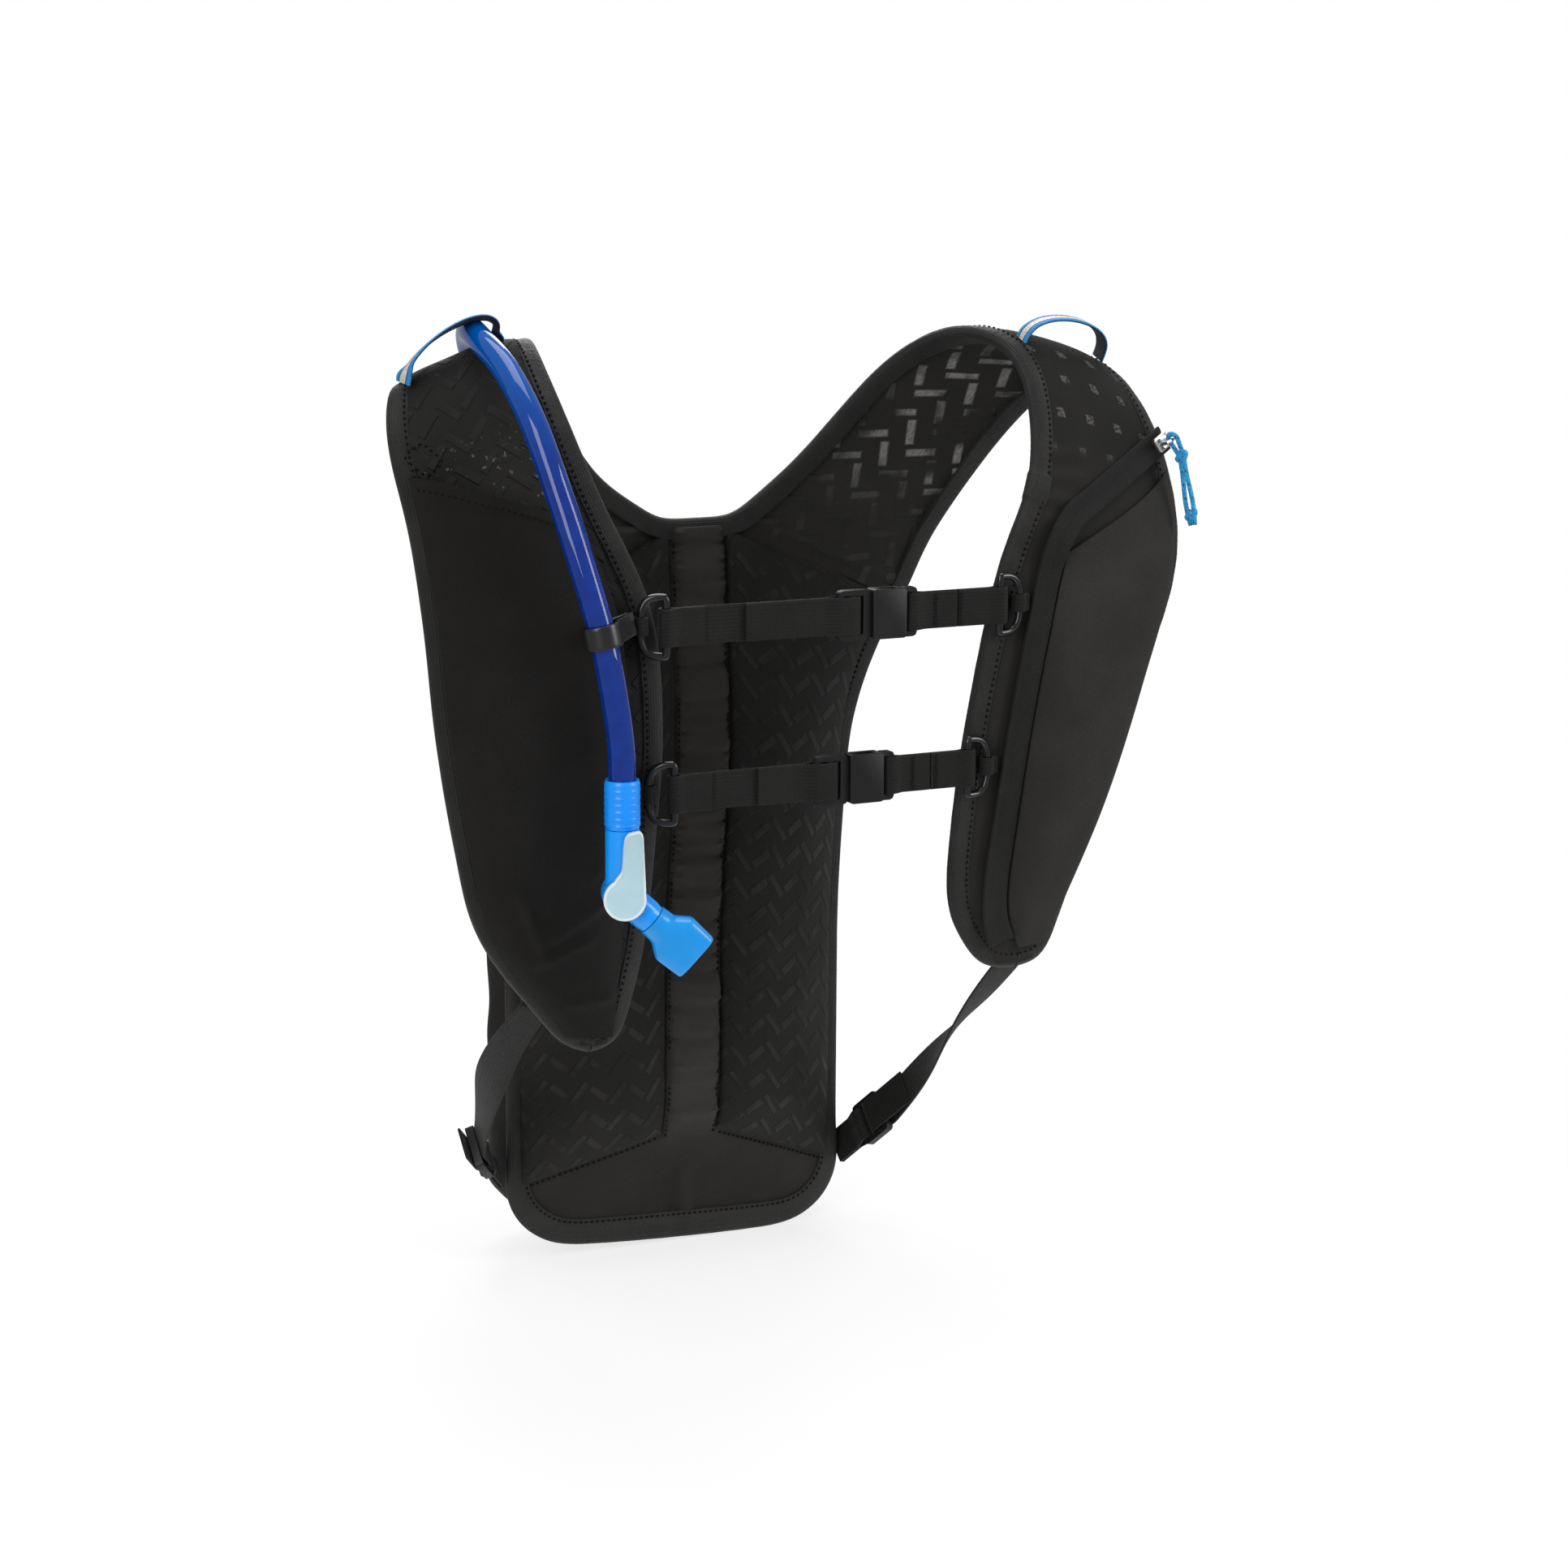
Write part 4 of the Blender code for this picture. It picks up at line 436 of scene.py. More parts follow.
def curveThrough(points, t):
    # Smooth curve through the points, t counted in points: each stretch is a cubic whose ends lean
    # along the line between the neighbours
    points = np.asarray(points, float)
    full = np.vstack((2 * points[0] - points[1], points, 2 * points[-1] - points[-2]))
    t = np.asarray(t, float)
    i = np.clip(np.floor(t).astype(int), 0, len(points) - 2)
    f = (t - i)[..., None]
    p0, p1, p2, p3 = (full[i + k] for k in range(4))
    return p1 + ((p2 - p0) * f + (2 * p0 - 5 * p1 + 4 * p2 - p3) * f**2
                 + (3 * p1 - p0 - 3 * p2 + p3) * f**3) / 2


def lengthsAlong(path):
    return np.concatenate(([0], np.cumsum(np.linalg.norm(np.diff(path, axis=0), axis=1))))


def resample(path, count, *others):
    # The same path with its points evenly spaced, and the other columns carried along
    far = lengthsAlong(path)
    picks = np.linspace(0, far[-1], count)
    return [np.column_stack([np.interp(picks, far, a[:, k]) for k in range(a.shape[1])])
            for a in (path, *others)]


def flatMap(points):
    # Mean distance across the columns and along the rows
    u = np.concatenate(([0], np.cumsum(np.linalg.norm(np.diff(points, axis=1), axis=2).mean(0))))
    v = np.concatenate(([0], np.cumsum(np.linalg.norm(np.diff(points, axis=0), axis=2).mean(1))))
    return np.stack(np.meshgrid(u - u[-1] / 2, v), -1)


def roundSection(radius, count=20):
    a = np.linspace(0, tau, count + 1)
    return np.column_stack((np.cos(a), np.sin(a))) * radius


def barSection(width, height, power=4, count=24):
    # Superellipse: signed powers of cosine and sine
    a = np.linspace(0, tau, count + 1)
    c, s = np.cos(a), np.sin(a)
    e = 2 / power
    return np.column_stack((np.sign(c) * abs(c)**e * width / 2, np.sign(s) * abs(s)**e * height / 2))


def sweep(path, across, section):
    # Section carried along the path: its x lies along across, its y square to both
    ahead = unit(np.gradient(path, axis=0))
    across = np.broadcast_to(np.asarray(across, float), path.shape)
    across = unit(across - ahead * (across * ahead).sum(-1, keepdims=True))
    up = np.cross(ahead, across)
    section = np.broadcast_to(section, (len(path), *np.shape(section)[-2:]))
    return (path[:, None] + across[:, None] * section[..., :1] + up[:, None] * section[..., 1:])


def freeAcross(path, start):
    # A direction carried along the path with no twist, square to it everywhere
    ahead = unit(np.gradient(path, axis=0))
    made = [np.asarray(start, float)]
    for step in ahead:
        made.append(unit(made[-1] - step * np.dot(made[-1], step)))
    return np.array(made[1:])


class Shell:
    # Gathers grids of points into one mesh, with a map in millimetres and a finish for each face

    def __init__(self):
        self.points, self.faces, self.flats, self.finish = [], [], [], []
        self.count = 0

    def add(self, points, faces, flats, finish):
        for face, flat in zip(faces, flats):
            self.faces += (face + self.count).tolist()
            self.flats.append(flat.reshape(-1, 2))
            self.finish.append(np.broadcast_to(finish, len(face)))
            finish = self.finish[-1][:1]
        self.points.append(points.reshape(-1, 3))
        self.count += points.size // 3
        return self

    def grid(self, points, flat=None, wrap=False, caps=False, finish=0):
        # wrap: the last column repeats the first; caps: the end rows are closed
        rows, columns = points.shape[:2]
        flat = flatMap(points) if flat is None else flat
        kept = columns - 1 if wrap else columns
        number = np.arange(rows * kept).reshape(rows, kept)
        if wrap:
            number = np.hstack((number, number[:, :1]))
        quads = np.stack((number[:-1, :-1], number[:-1, 1:], number[1:, 1:], number[1:, :-1]), -1)
        corners = np.stack((flat[:-1, :-1], flat[:-1, 1:], flat[1:, 1:], flat[1:, :-1]), 2)
        faces, flats = [quads.reshape(-1, 4)], [corners]
        if caps:
            faces += [number[:1, kept - 1::-1], number[-1:, :kept]]
            flats += [flat[:1, kept - 1::-1], flat[-1:, :kept]]
        return self.add(points[:, :kept], faces, flats, finish)

    def slab(self, lower, upper, finish=0):
        # Closed body between two sheets of the same grid
        rows, columns = upper.shape[:2]
        number = np.arange(rows * columns).reshape(rows, columns)
        flat = flatMap(upper)
        corners = (number[:-1, :-1], number[:-1, 1:], number[1:, 1:], number[1:, :-1])
        quads = np.stack(corners, -1).reshape(-1, 4)
        rim = np.concatenate((number[0, :-1], number[:-1, -1], number[-1, :0:-1], number[:0:-1, 0]))
        after = np.roll(rim, -1)
        walls = np.stack((after, rim, rim + number.size, after + number.size), -1)
        spread = np.tile(flat.reshape(-1, 2), (2, 1))
        faces = np.vstack((quads, quads[:, ::-1] + number.size, walls))
        return self.add(np.stack((upper, lower)), [faces], [spread[faces]], finish)

    def tube(self, path, across, section, closed=False, finish=0):
        points = sweep(path, across, section)
        return self.grid(points, wrap=True, caps=not closed, finish=finish)

    def ribbon(self, path, across, width, thick, finish=(0, 0)):
        # Flat band with soft edges, mapped from its middle line; its two faces may differ
        section = barSection(width, thick, 7, 28)
        points = sweep(path, across, section)
        u = np.broadcast_to(section[:, 0], points.shape[:2])
        v = np.broadcast_to(lengthsAlong(path)[:, None], points.shape[:2])
        upper = section[:-1, 1] + section[1:, 1] > 0
        faces = np.tile(np.where(upper, *finish), len(path) - 1)
        return self.grid(points, np.stack((u, v), -1), wrap=True, caps=True, finish=faces)

    def stitches(self, path, up, pitch, length, thick, finish=0):
        # A row of threads on a line: each is a short low bead of few faces, its ends sunk in the cloth
        far = lengthsAlong(path)
        picks = np.arange(pitch / 2, far[-1], pitch)
        middle = np.column_stack([np.interp(picks, far, path[:, k]) for k in range(3)])
        ahead = unit(np.column_stack([np.interp(picks, far, c) for c in np.gradient(path, axis=0).T]))
        up = np.column_stack([np.interp(picks, far, c) for c in np.broadcast_to(up, path.shape).T])
        up = unit(up - ahead * (up * ahead).sum(-1, keepdims=True))
        across = np.cross(ahead, up)
        e = np.array((-0.5, -0.34, 0, 0.34, 0.5))
        size = np.array((0.3, 0.9, 1, 0.9, 0.3)) * thick / 2
        sink = np.array((-0.5, 0.0, 0.2, 0.0, -0.5)) * thick
        a = np.linspace(0, tau, 6, endpoint=False)
        x = np.broadcast_to((e * length)[:, None], (5, 6))
        y, z = size[:, None] * np.cos(a), size[:, None] * np.sin(a) + sink[:, None]
        points = middle[:, None, None] + sum(c[..., None] * d[:, None, None] for c, d in
                                             ((x, ahead), (y, across), (z, up)))
        number = np.arange(points.size // 3).reshape(points.shape[:3])
        beside = np.roll(number, -1, 2)
        quads = np.stack((number[:, :-1], beside[:, :-1], beside[:, 1:], number[:, 1:]), -1).reshape(-1, 4)
        ends = np.concatenate((number[:, 0, ::-1], number[:, -1]))
        return self.add(points, [quads, ends], [np.zeros((*f.shape, 2)) for f in (quads, ends)], finish)

    def build(self, name, finishNames, body="harness", stands=(), slot=None, sharp=50, closed=True):
        mesh = bpy.data.meshes.new(name)
        mesh.from_pydata(np.vstack(self.points) * mm, [], self.faces)
        mesh.uv_layers.new(name="flat").data.foreach_set("uv", np.vstack(self.flats).ravel())
        mesh.polygons.foreach_set("material_index", np.concatenate(self.finish).astype(np.int32))
        for finishName in finishNames:
            mesh.materials.append(finishes[finishName])
        if closed:
            bm = bmesh.new()
            bm.from_mesh(mesh)
            bmesh.ops.recalc_face_normals(bm, faces=bm.faces[:])
            bm.to_mesh(mesh)
            bm.free()
        mesh.shade_smooth()
        mesh.set_sharp_from_angle(angle=np.radians(sharp))
        item = bpy.data.objects.new(name, mesh)
        bpy.context.scene.collection.objects.link(item)
        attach(item, body)
        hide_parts(*stands)
        return item


def declareSheet(item, points):
    # Hands the piece back as it is; no cut size or area is worked out
    return item


def unevenness(seed, u, v, wave, count=9):
    # Sum of a few sine waves in random directions, between about -1 and 1
    draw = np.random.default_rng(seed)
    total = 0
    for _ in range(count):
        turn, phase, stretch = draw.uniform(0, tau), draw.uniform(0, tau), draw.uniform(0.7, 1.6)
        total = total + np.sin((u * np.cos(turn) + v * np.sin(turn)) * tau / (wave * stretch) + phase)
    return total / count**0.5 / 1.5


def crease(u, v, start, end, width, height):
    # A soft ridge along a line on the cloth, fading towards its ends
    a, b = np.array(start, float), np.array(end, float)
    run = b - a
    share = ((u - a[0]) * run[0] + (v - a[1]) * run[1]) / run.dot(run)
    off = ((u - a[0]) * run[1] - (v - a[1]) * run[0]) / np.linalg.norm(run)
    fade = ease(share * 4) * ease((1 - share) * 4)
    return height * fade * np.exp(-(off / width) ** 2)


# Drink hose, on the wearer's right: laid first, with its valve at the far end

hose = {
    "diameter": 10.6, "bore": 6.6,
    "route": [
        (-30, 87, -294), (-34, 88, -250), (-42, 87, -190), (-48, 83, -135), (-56, 80, -96),
        (-73, 75, -60), (-96, 58, -19), (-112, 37, 8), (-121, 15, 18), (-124, -7, 15),
        (-122, -28, 5), (-119, -48, -14), (-113, -61, -43), (-107, -67, -68), (-101, -70, -92),
        (-97, -71.5, -115), (-94.5, -72, -134), (-94, -72, -147), (-94, -72, -159),
    ],
}
hoseFine = curveThrough(hose["route"], np.linspace(0, len(hose["route"]) - 1, 500))
hosePath = resample(hoseFine, 220)[0]


def makeHose():
    # Circle carried along the route, and the bore that shows through its wall
    across = freeAcross(hosePath, (1, 0, 0))
    wall = Shell().tube(hosePath, across, roundSection(hose["diameter"] / 2, 32))
    wall = wall.build("drink_hose", ["hose"], stands=["drink_tube"], slot="tube_blue")
    inside = hosePath[2:-2]
    Shell().tube(inside, across[2:-2], roundSection(hose["bore"] / 2, 20)).build("drink_bore", ["bore"])
    return wall


drinkHose = makeHose()

valve = {
    "centre": (-94, -72, -193), "yaw": -17.5, "fall": 42,
    "collar": 6.9, "rib": 0.11, "ribs": 7, "collarLow": 26.3, "collarTop": 45.3,
    "neckTop": 26, "neck": 6.7, "drum": 8.0, "drumHalf": 7.2, "spout": 6.4, "spoutLength": 15,
    "bite": 23,
}


def valveSpace(points):
    # Valve coordinates, x to the mouthpiece and y into the strap, turned and moved to the hose's end
    a = np.radians(valve["yaw"])
    turn = np.array(((np.cos(a), np.sin(a), 0), (-np.sin(a), np.cos(a), 0), (0, 0, 1)))
    return points @ turn + vec(*valve["centre"])


def turnedGrid(profile, count=40):
    # Radius and height pairs spun round z
    profile = np.array(profile, float)
    a = np.linspace(0, tau, count + 1)
    ring = np.stack((np.cos(a), np.sin(a), np.zeros_like(a)), -1)
    return ring[None] * profile[:, :1, None] + profile[:, None, 1:] * vec(0, 0, 1)


def makeCollar():
    # Ribbed sleeve: radius swells in a half wave at each rib
    z = np.linspace(valve["collarTop"], valve["collarLow"], 90)
    share = (valve["collarTop"] - z) / (valve["collarTop"] - valve["collarLow"])
    wave = np.maximum(np.sin(share * valve["ribs"] * tau - 1.2), 0) ** 0.7
    edge = ease((share - 0.02) / 0.05) * ease((0.97 - share) / 0.05)
    radius = valve["collar"] - 0.35 * (1 - edge) + valve["rib"] * wave * ease((share - 0.1) / 0.1)
    inner = hose["diameter"] / 2 + 0.2
    outline = np.column_stack((radius, z))
    outline = np.vstack(((inner, z[0] - 3), (inner, z[0] - 0.2), (valve["collar"] - 0.8, z[0]), outline,
                         (0.1, z[-1])))
    shell = Shell().grid(valveSpace(turnedGrid(outline)), wrap=True, caps=True)
    return shell.build("hose_collar", ["collar"], stands=["tube_sleeve"], slot="valve_blue")


def makeValveBody():
    # Tapering neck, drum across it and a round spout that falls to the mouthpiece
    drop = np.radians(valve["fall"])
    neckShare = np.linspace(0, 1, 24)
    neckRadius = valve["neck"] + 0.25 * ease(1 - neckShare * 3)
    neck = np.column_stack((neckRadius, neckShare * valve["neckTop"]))
    neck = np.vstack(((0.1, 0), neck, (valve["neck"] - 0.5, valve["neckTop"] + 0.1),
                      (0.1, valve["neckTop"] + 0.1)))
    shell = Shell().grid(valveSpace(turnedGrid(neck)), wrap=True, caps=True)
    half, drum = valve["drumHalf"], valve["drum"]
    outline = [(0.1, -half), (drum - 0.9, -half), (drum - 0.25, -half + 0.25), (drum, -half + 0.9),
               (drum, half - 1.6), (drum - 0.5, half - 0.5), (drum - 1.6, half), (0.1, half)]
    across = turnedGrid(outline, 48)[..., [0, 2, 1]]
    shell.grid(valveSpace(across), wrap=True, caps=True)
    far = np.linspace(0, valve["spoutLength"], 14)
    path = np.outer(far, (np.cos(drop), 0, -np.sin(drop)))
    size = np.where(far > valve["spoutLength"] - 1.2, valve["spout"] - 0.35, valve["spout"])
    section = roundSection(1, 36)[None] * size[:, None, None]
    shell.grid(valveSpace(sweep(path, (0, 1, 0), section)), wrap=True, caps=True)
    return shell.build("valve_body", ["valve"], stands=["shutoff_body"], slot="valve_blue", sharp=60)


def makeBite():
    # Rings from a round root to a wide flat mouth: each is a superellipse, squarer towards the mouth
    stops = np.array([(0, 6.4, 6.4, 2), (0.08, 6.6, 6.5, 2), (0.20, 6.75, 6.5, 2), (0.26, 7.1, 6.5, 2.1),
                      (0.36, 8.7, 6.3, 2.4), (0.46, 10.3, 6.1, 2.9), (0.495, 10.7, 6.0, 3.2),
                      (0.53, 10.75, 5.95, 3.4), (0.90, 10.15, 5.35, 4.0),
                      (0.975, 10.05, 5.1, 4.0), (1.0, 9.7, 4.7, 4.0)])
    share = np.concatenate((np.linspace(0, 0.95, 50), np.linspace(0.957, 1, 12)))
    wide, deep, power = (np.interp(share, stops[:, 0], stops[:, k])[:, None] for k in (1, 2, 3))
    a = np.linspace(0, tau, 65)[None]
    c, s = np.cos(a), np.sin(a)
    x = np.sign(c) * abs(c)**(2 / power) * wide
    y = np.sign(s) * abs(s)**(2 / power) * deep
    along = share[:, None] * valve["bite"] + np.zeros_like(a)
    lip = np.array((0.75, 0.45, 0.02))[:, None]  # rings that close the mouth, sunk into its slit
    sink = np.array((-0.15, -0.6, -1.8))[:, None]
    x, y = np.vstack((x, x[-1:] * lip)), np.vstack((y, y[-1:] * lip))
    along = np.vstack((along, along[-1:] + sink))
    drop = np.radians(valve["fall"])
    ahead, up = vec(np.cos(drop), 0, -np.sin(drop)), vec(np.sin(drop), 0, np.cos(drop))
    start = ahead * (valve["spoutLength"] + 0.3)
    points = start + along[..., None] * ahead + x[..., None] * up + y[..., None] * vec(0, 1, 0)
    shell = Shell().grid(valveSpace(points), wrap=True, caps=True)
    return shell.build("mouthpiece", ["bite"], stands=["bite_valve"], slot="bite_blue", sharp=70)


lever = {"disc": 8.3, "tip": 3.6, "lean": 3.5, "length": 26.5, "thick": 2.6, "front": -7.5, "rim": 0.9}


def makeLever():
    # Plate whose edge is a distance from the disc's centre for each direction: the disc, or the arm
    # that leans off it with a hollow curve on one side; rings run from the middle out and over the rim
    a = np.linspace(0, tau, 241)
    c, s = np.cos(a), np.sin(a)
    reach = np.linspace(0.5, 40, 900)[:, None]
    x, z = reach * c, reach * s
    height = np.clip((z - 4) / (lever["length"] - 4), 0, 1)
    left = lever["lean"] - lever["tip"] - 1.5 * (1 - height) - 3.4 * (1 - ease((z - 5.6) / 6.5))
    right = lever["lean"] + lever["tip"] + 1.0 * (1 - height)
    aside = x - lever["lean"]
    tipCut = lever["length"] + 0.22 * aside - 0.55 * np.clip(abs(aside) - 1.7, 0, 9) ** 2
    inside = (np.hypot(x, z) < lever["disc"]) | ((z > 0) & (x > left) & (x < right) & (z < tipCut))
    inside &= np.logical_and.accumulate(inside, axis=0)
    far = np.where(inside, reach, 0).max(0)
    far[-1] = far[0]
    rim = lever["rim"]
    inset = np.array((0.02, 3.0, rim + 0.35, rim + 0.1, rim - 0.15, 0.35, 0.1, 0, 0, 0.5))
    lift = np.array((-0.25, -0.25, -0.25, -0.12, 0, 0, -0.12, -0.4, -lever["thick"] + 0.3, -lever["thick"]))
    size = np.where(np.arange(len(inset)) == 0, 0.004, 1 - inset / far.min())[:, None]
    radius = np.where(np.arange(len(inset))[:, None] < 2, far * size, far - inset[:, None])
    y = lever["front"] - lever["thick"] - lift[:, None] + np.zeros_like(radius)
    points = np.stack((radius * c, y, radius * s), -1)
    shell = Shell().grid(valveSpace(points), wrap=True, caps=True,
                         finish=np.repeat((0, 0, 0, 1, 1, 1, 1, 1, 1), len(a) - 1))
    return shell.build("valve_lever", ["lever", "leverRim"], body="lever", stands=["shutoff_lever"],
                       slot="lever_grey", sharp=60)


hoseCollar, valveBody, mouthpiece, valveLever = makeCollar(), makeValveBody(), makeBite(), makeLever()
nodes["shutoff_core"].data.materials[0] = finishes["white"]
print("valve made")


# Back panel

panel = {
    "half": 77, "bottom": -383, "corner": 28, "armHalf": 98, "armHeight": -106, "flare": -176,
    "neckHalf": 18, "neckHeight": -70, "seam": 0.8, "sway": -6.5, "swayStart": -125, "swayEnd": -260,
    "edgeDepth": 75, "topDepth": 67, "lens": 18, "lensBottom": 0.05, "lensRise": 70, "tilt": 0.05,
    "lensFade": -190,
    "sheet": 2, "channel": 26,
}


def halfWidth(z):
    # Round bottom corners, straight sides, then a square-law flare to the armholes
    rise = np.clip(z - panel["bottom"], 0, None)
    corner = panel["corner"]
    low = panel["half"] - corner + np.sqrt(np.clip(corner**2 - (corner - rise) ** 2, 0, None))
    share = np.clip((z - panel["flare"]) / (panel["armHeight"] - panel["flare"]), 0, 1)
    return np.where(rise < corner, low, panel["half"] + (panel["armHalf"] - panel["half"]) * share**2)


def seamHeight(x):
    run = np.clip((abs(x) - panel["neckHalf"]) / (panel["armHalf"] - panel["neckHalf"]), 0, 1)
    return panel["neckHeight"] + (panel["armHeight"] - panel["neckHeight"]) * run


def panelPlace(u, v):
    # x and z for u from -1 to 1 across and v from 0 to 1 upwards; the lowest quarter is the round corner
    foot = panel["bottom"] + panel["corner"]
    low = panel["bottom"] + panel["corner"] * (1 - np.cos(np.clip(v / 0.25, 0, 1) * np.pi / 2))
    climb = (v - 0.25) / 0.75
    side = foot + (panel["armHeight"] - foot) * climb
    top = seamHeight(u * panel["armHalf"]) - panel["seam"]
    below = v < 0.25
    x = np.where(below, u * halfWidth(low), u * halfWidth(side))
    z = np.where(below, low, foot + (top - foot) * climb)
    return x, z


def frontDepth(x, z):
    # y of the panel's front: the middle stands towards the wearer like a lens
    rise = panel["lensBottom"] + (1 - panel["lensBottom"]) * ease((z - panel["bottom"]) / panel["lensRise"])
    fade = ease((z - panel["lensFade"]) / (panel["neckHeight"] - panel["lensFade"]))
    edge = panel["edgeDepth"] + (panel["topDepth"] - panel["edgeDepth"]) * fade
    flat = panel["channel"] / 2
    side = np.clip((abs(x) - flat) / (halfWidth(z) - flat), 0, 1)
    return edge - panel["lens"] * (1 - side**2) * rise * (1 - fade)


def tilted(x, z):
    # The foot of the pack hangs a little lower on the wearer's left
    return z - panel["tilt"] * x * ease((panel["bottom"] + 90 - z) / 90)


def sway(z):
    return panel["sway"] * ease((panel["swayStart"] - z) / (panel["swayStart"] - panel["swayEnd"]))


pads = {"inner": 13.3, "foot": -337, "fall": 22, "margin": 3, "crown": 6.2, "seat": 0.4}


def makePanel():
    # Base cloth: smooth, but gathered across the spine channel, with puckers at its two seams
    u, v = np.meshgrid(np.linspace(-1, 1, 181), np.linspace(0, 1, 201))
    x, z = panelPlace(u, v)
    half = panel["channel"] / 2
    within = ease((half + 1 - abs(x)) / 3)
    gather = unevenness(3, x * 0.16, z, 10, 12)
    pucker = np.exp(-((abs(x) - half + 2.5) / 2.6) ** 2) * np.sin(z * tau / 3.4 + 2 * np.sin(z / 9))
    seam = np.exp(-((abs(x) - half) / 1.1) ** 2)
    upper = ease((z - pads["foot"] + 6) / 16)
    rise = np.clip(1 - (x / half) ** 4, 0, 1)
    lift = upper * (within * (0.9 + 3.8 * rise + 2.6 * gather + 0.9 * pucker) - 0.8 * seam)
    lift = lift + (1 - within * upper) * 0.5 * unevenness(5, x, z, 46)
    pinch = crease(x, z, (6, -383), (-2, -352), 3.5, 1.8) - crease(x, z, (-1, -383), (-10, -356), 3, 1.2)
    y, z = frontDepth(x, z), tilted(x, z)
    lift = lift + pinch
    shell = Shell().slab(np.stack((x + sway(z), y + panel["sheet"], z), -1),
                         np.stack((x + sway(z), y - lift, z), -1))
    made = shell.build("panel_cloth", ["panel"], stands=["back_panel"], slot="black_fabric")
    return declareSheet(made, np.stack((x, y, z), -1))


def padPlace(a, b):
    # x and z over a pad: a from the channel outwards, b upwards from its slanting foot
    outerFoot = pads["foot"] - pads["fall"]
    drop = panel["seam"] + pads["margin"]
    edge = outerFoot + (panel["armHeight"] - drop - outerFoot) * b
    x = pads["inner"] + (halfWidth(edge) - pads["margin"] - pads["inner"]) * a
    low = pads["foot"] - pads["fall"] * a
    return x, low + (seamHeight(x) - drop - low) * b


def makePad(side):
    # Foam under mesh: rises steeply from its sewn rim, then lies almost level
    sign = sides[side]
    a, b = np.meshgrid(np.linspace(0, 1, 81), np.linspace(0, 1, 181))
    x, z = padPlace(a, b)
    wide = halfWidth(z) - pads["inner"]
    rim = np.minimum(np.minimum(a, 1 - a) * wide, np.minimum(b, 1 - b) * 250)
    full = np.sqrt(np.clip(1 - (1 - np.clip(rim / 9, 0, 1)) ** 2, 0, 1))
    lift = pads["seat"] + pads["crown"] * (0.55 * full + 0.45 * ease(rim / 24)) + 0.35 * full * unevenness(
        21 + sign, x, z, 40)
    y, z = frontDepth(x, z), tilted(sign * x, z)
    place = sign * x + sway(z)
    shell = Shell().slab(np.stack((place, y - 0.1 + 0 * x, z), -1), np.stack((place, y - lift, z), -1))
    pad = shell.build(f"mesh_pad_{side}", ["mesh"], stands=[f"back_pad_{side}"], slot="mesh_fabric")
    return pad


panelCloth = makePanel()
for side in sides:
    makePad(side)
print("panel made")

sleeve = {"depth": 47, "wall": 1.5, "mouth": 0.5, "swell": 15, "top": 17 / 18}


def sleevePlace(u, v, out):
    # Round-backed section: x swings out by sin 2a, depth follows cos a, and the mouth is half as deep
    flatX, z = panelPlace(u, v)
    grown = ease(v / 0.22)
    drop = (1 - sleeve["mouth"]) * ease((v - 0.65) / (sleeve["top"] - 0.65))
    turn = u * np.pi / 2
    rim = abs(panelPlace(np.ones_like(u), v)[0]) - sleeve["wall"]
    roundX = rim * np.sin(turn) + sleeve["swell"] * np.sin(2 * turn)
    x = flatX + (roundX - flatX) * grown + out * np.sin(turn) * grown
    bulge = sleeve["depth"] * np.clip(np.cos(turn), 0, 1) ** 0.8 * grown * (1 - drop)
    y = frontDepth(flatX, z) + panel["sheet"] + 0.3 + bulge + out
    z = tilted(x, z)
    return np.stack((x + sway(z), y, z), -1)


def makeSleeve():
    # Rear cloth: sags in broad folds, with a doubled hem along its mouth
    u, v = np.meshgrid(np.linspace(-1, 1, 161), np.linspace(0, sleeve["top"], 181))
    x, z = u * 120, v * 300
    inner = np.clip(1 - abs(u) ** 6, 0, 1) * ease(v / 0.2)
    folds = 1.5 * unevenness(31, x, z, 70) + 0.6 * unevenness(32, x * 0.4, z, 24)
    folds = folds + crease(x, z, (-70, 200), (-20, 90), 7, 2.2) + crease(x, z, (75, 215), (25, 100), 8, 2.0)
    folds = folds + crease(x, z, (-95, 120), (-50, 60), 6, 1.6) + crease(x, z, (95, 130), (45, 50), 6, 1.7)
    hem = ease((v - sleeve["top"] + 0.045) / 0.006)
    out = sleeve["wall"] + inner * np.clip(folds, -0.9, 3) + 0.9 * hem * ease((1 - abs(u)) / 0.05)
    shell = Shell().slab(sleevePlace(u, v, np.zeros_like(u)), sleevePlace(u, v, out))
    made = shell.build("sleeve_cloth", ["black"], stands=["reservoir_sleeve"], slot="black_fabric")
    return declareSheet(made, sleevePlace(u, v, np.zeros_like(u)))


makeSleeve()
print("sleeve made")


# Shoulder straps

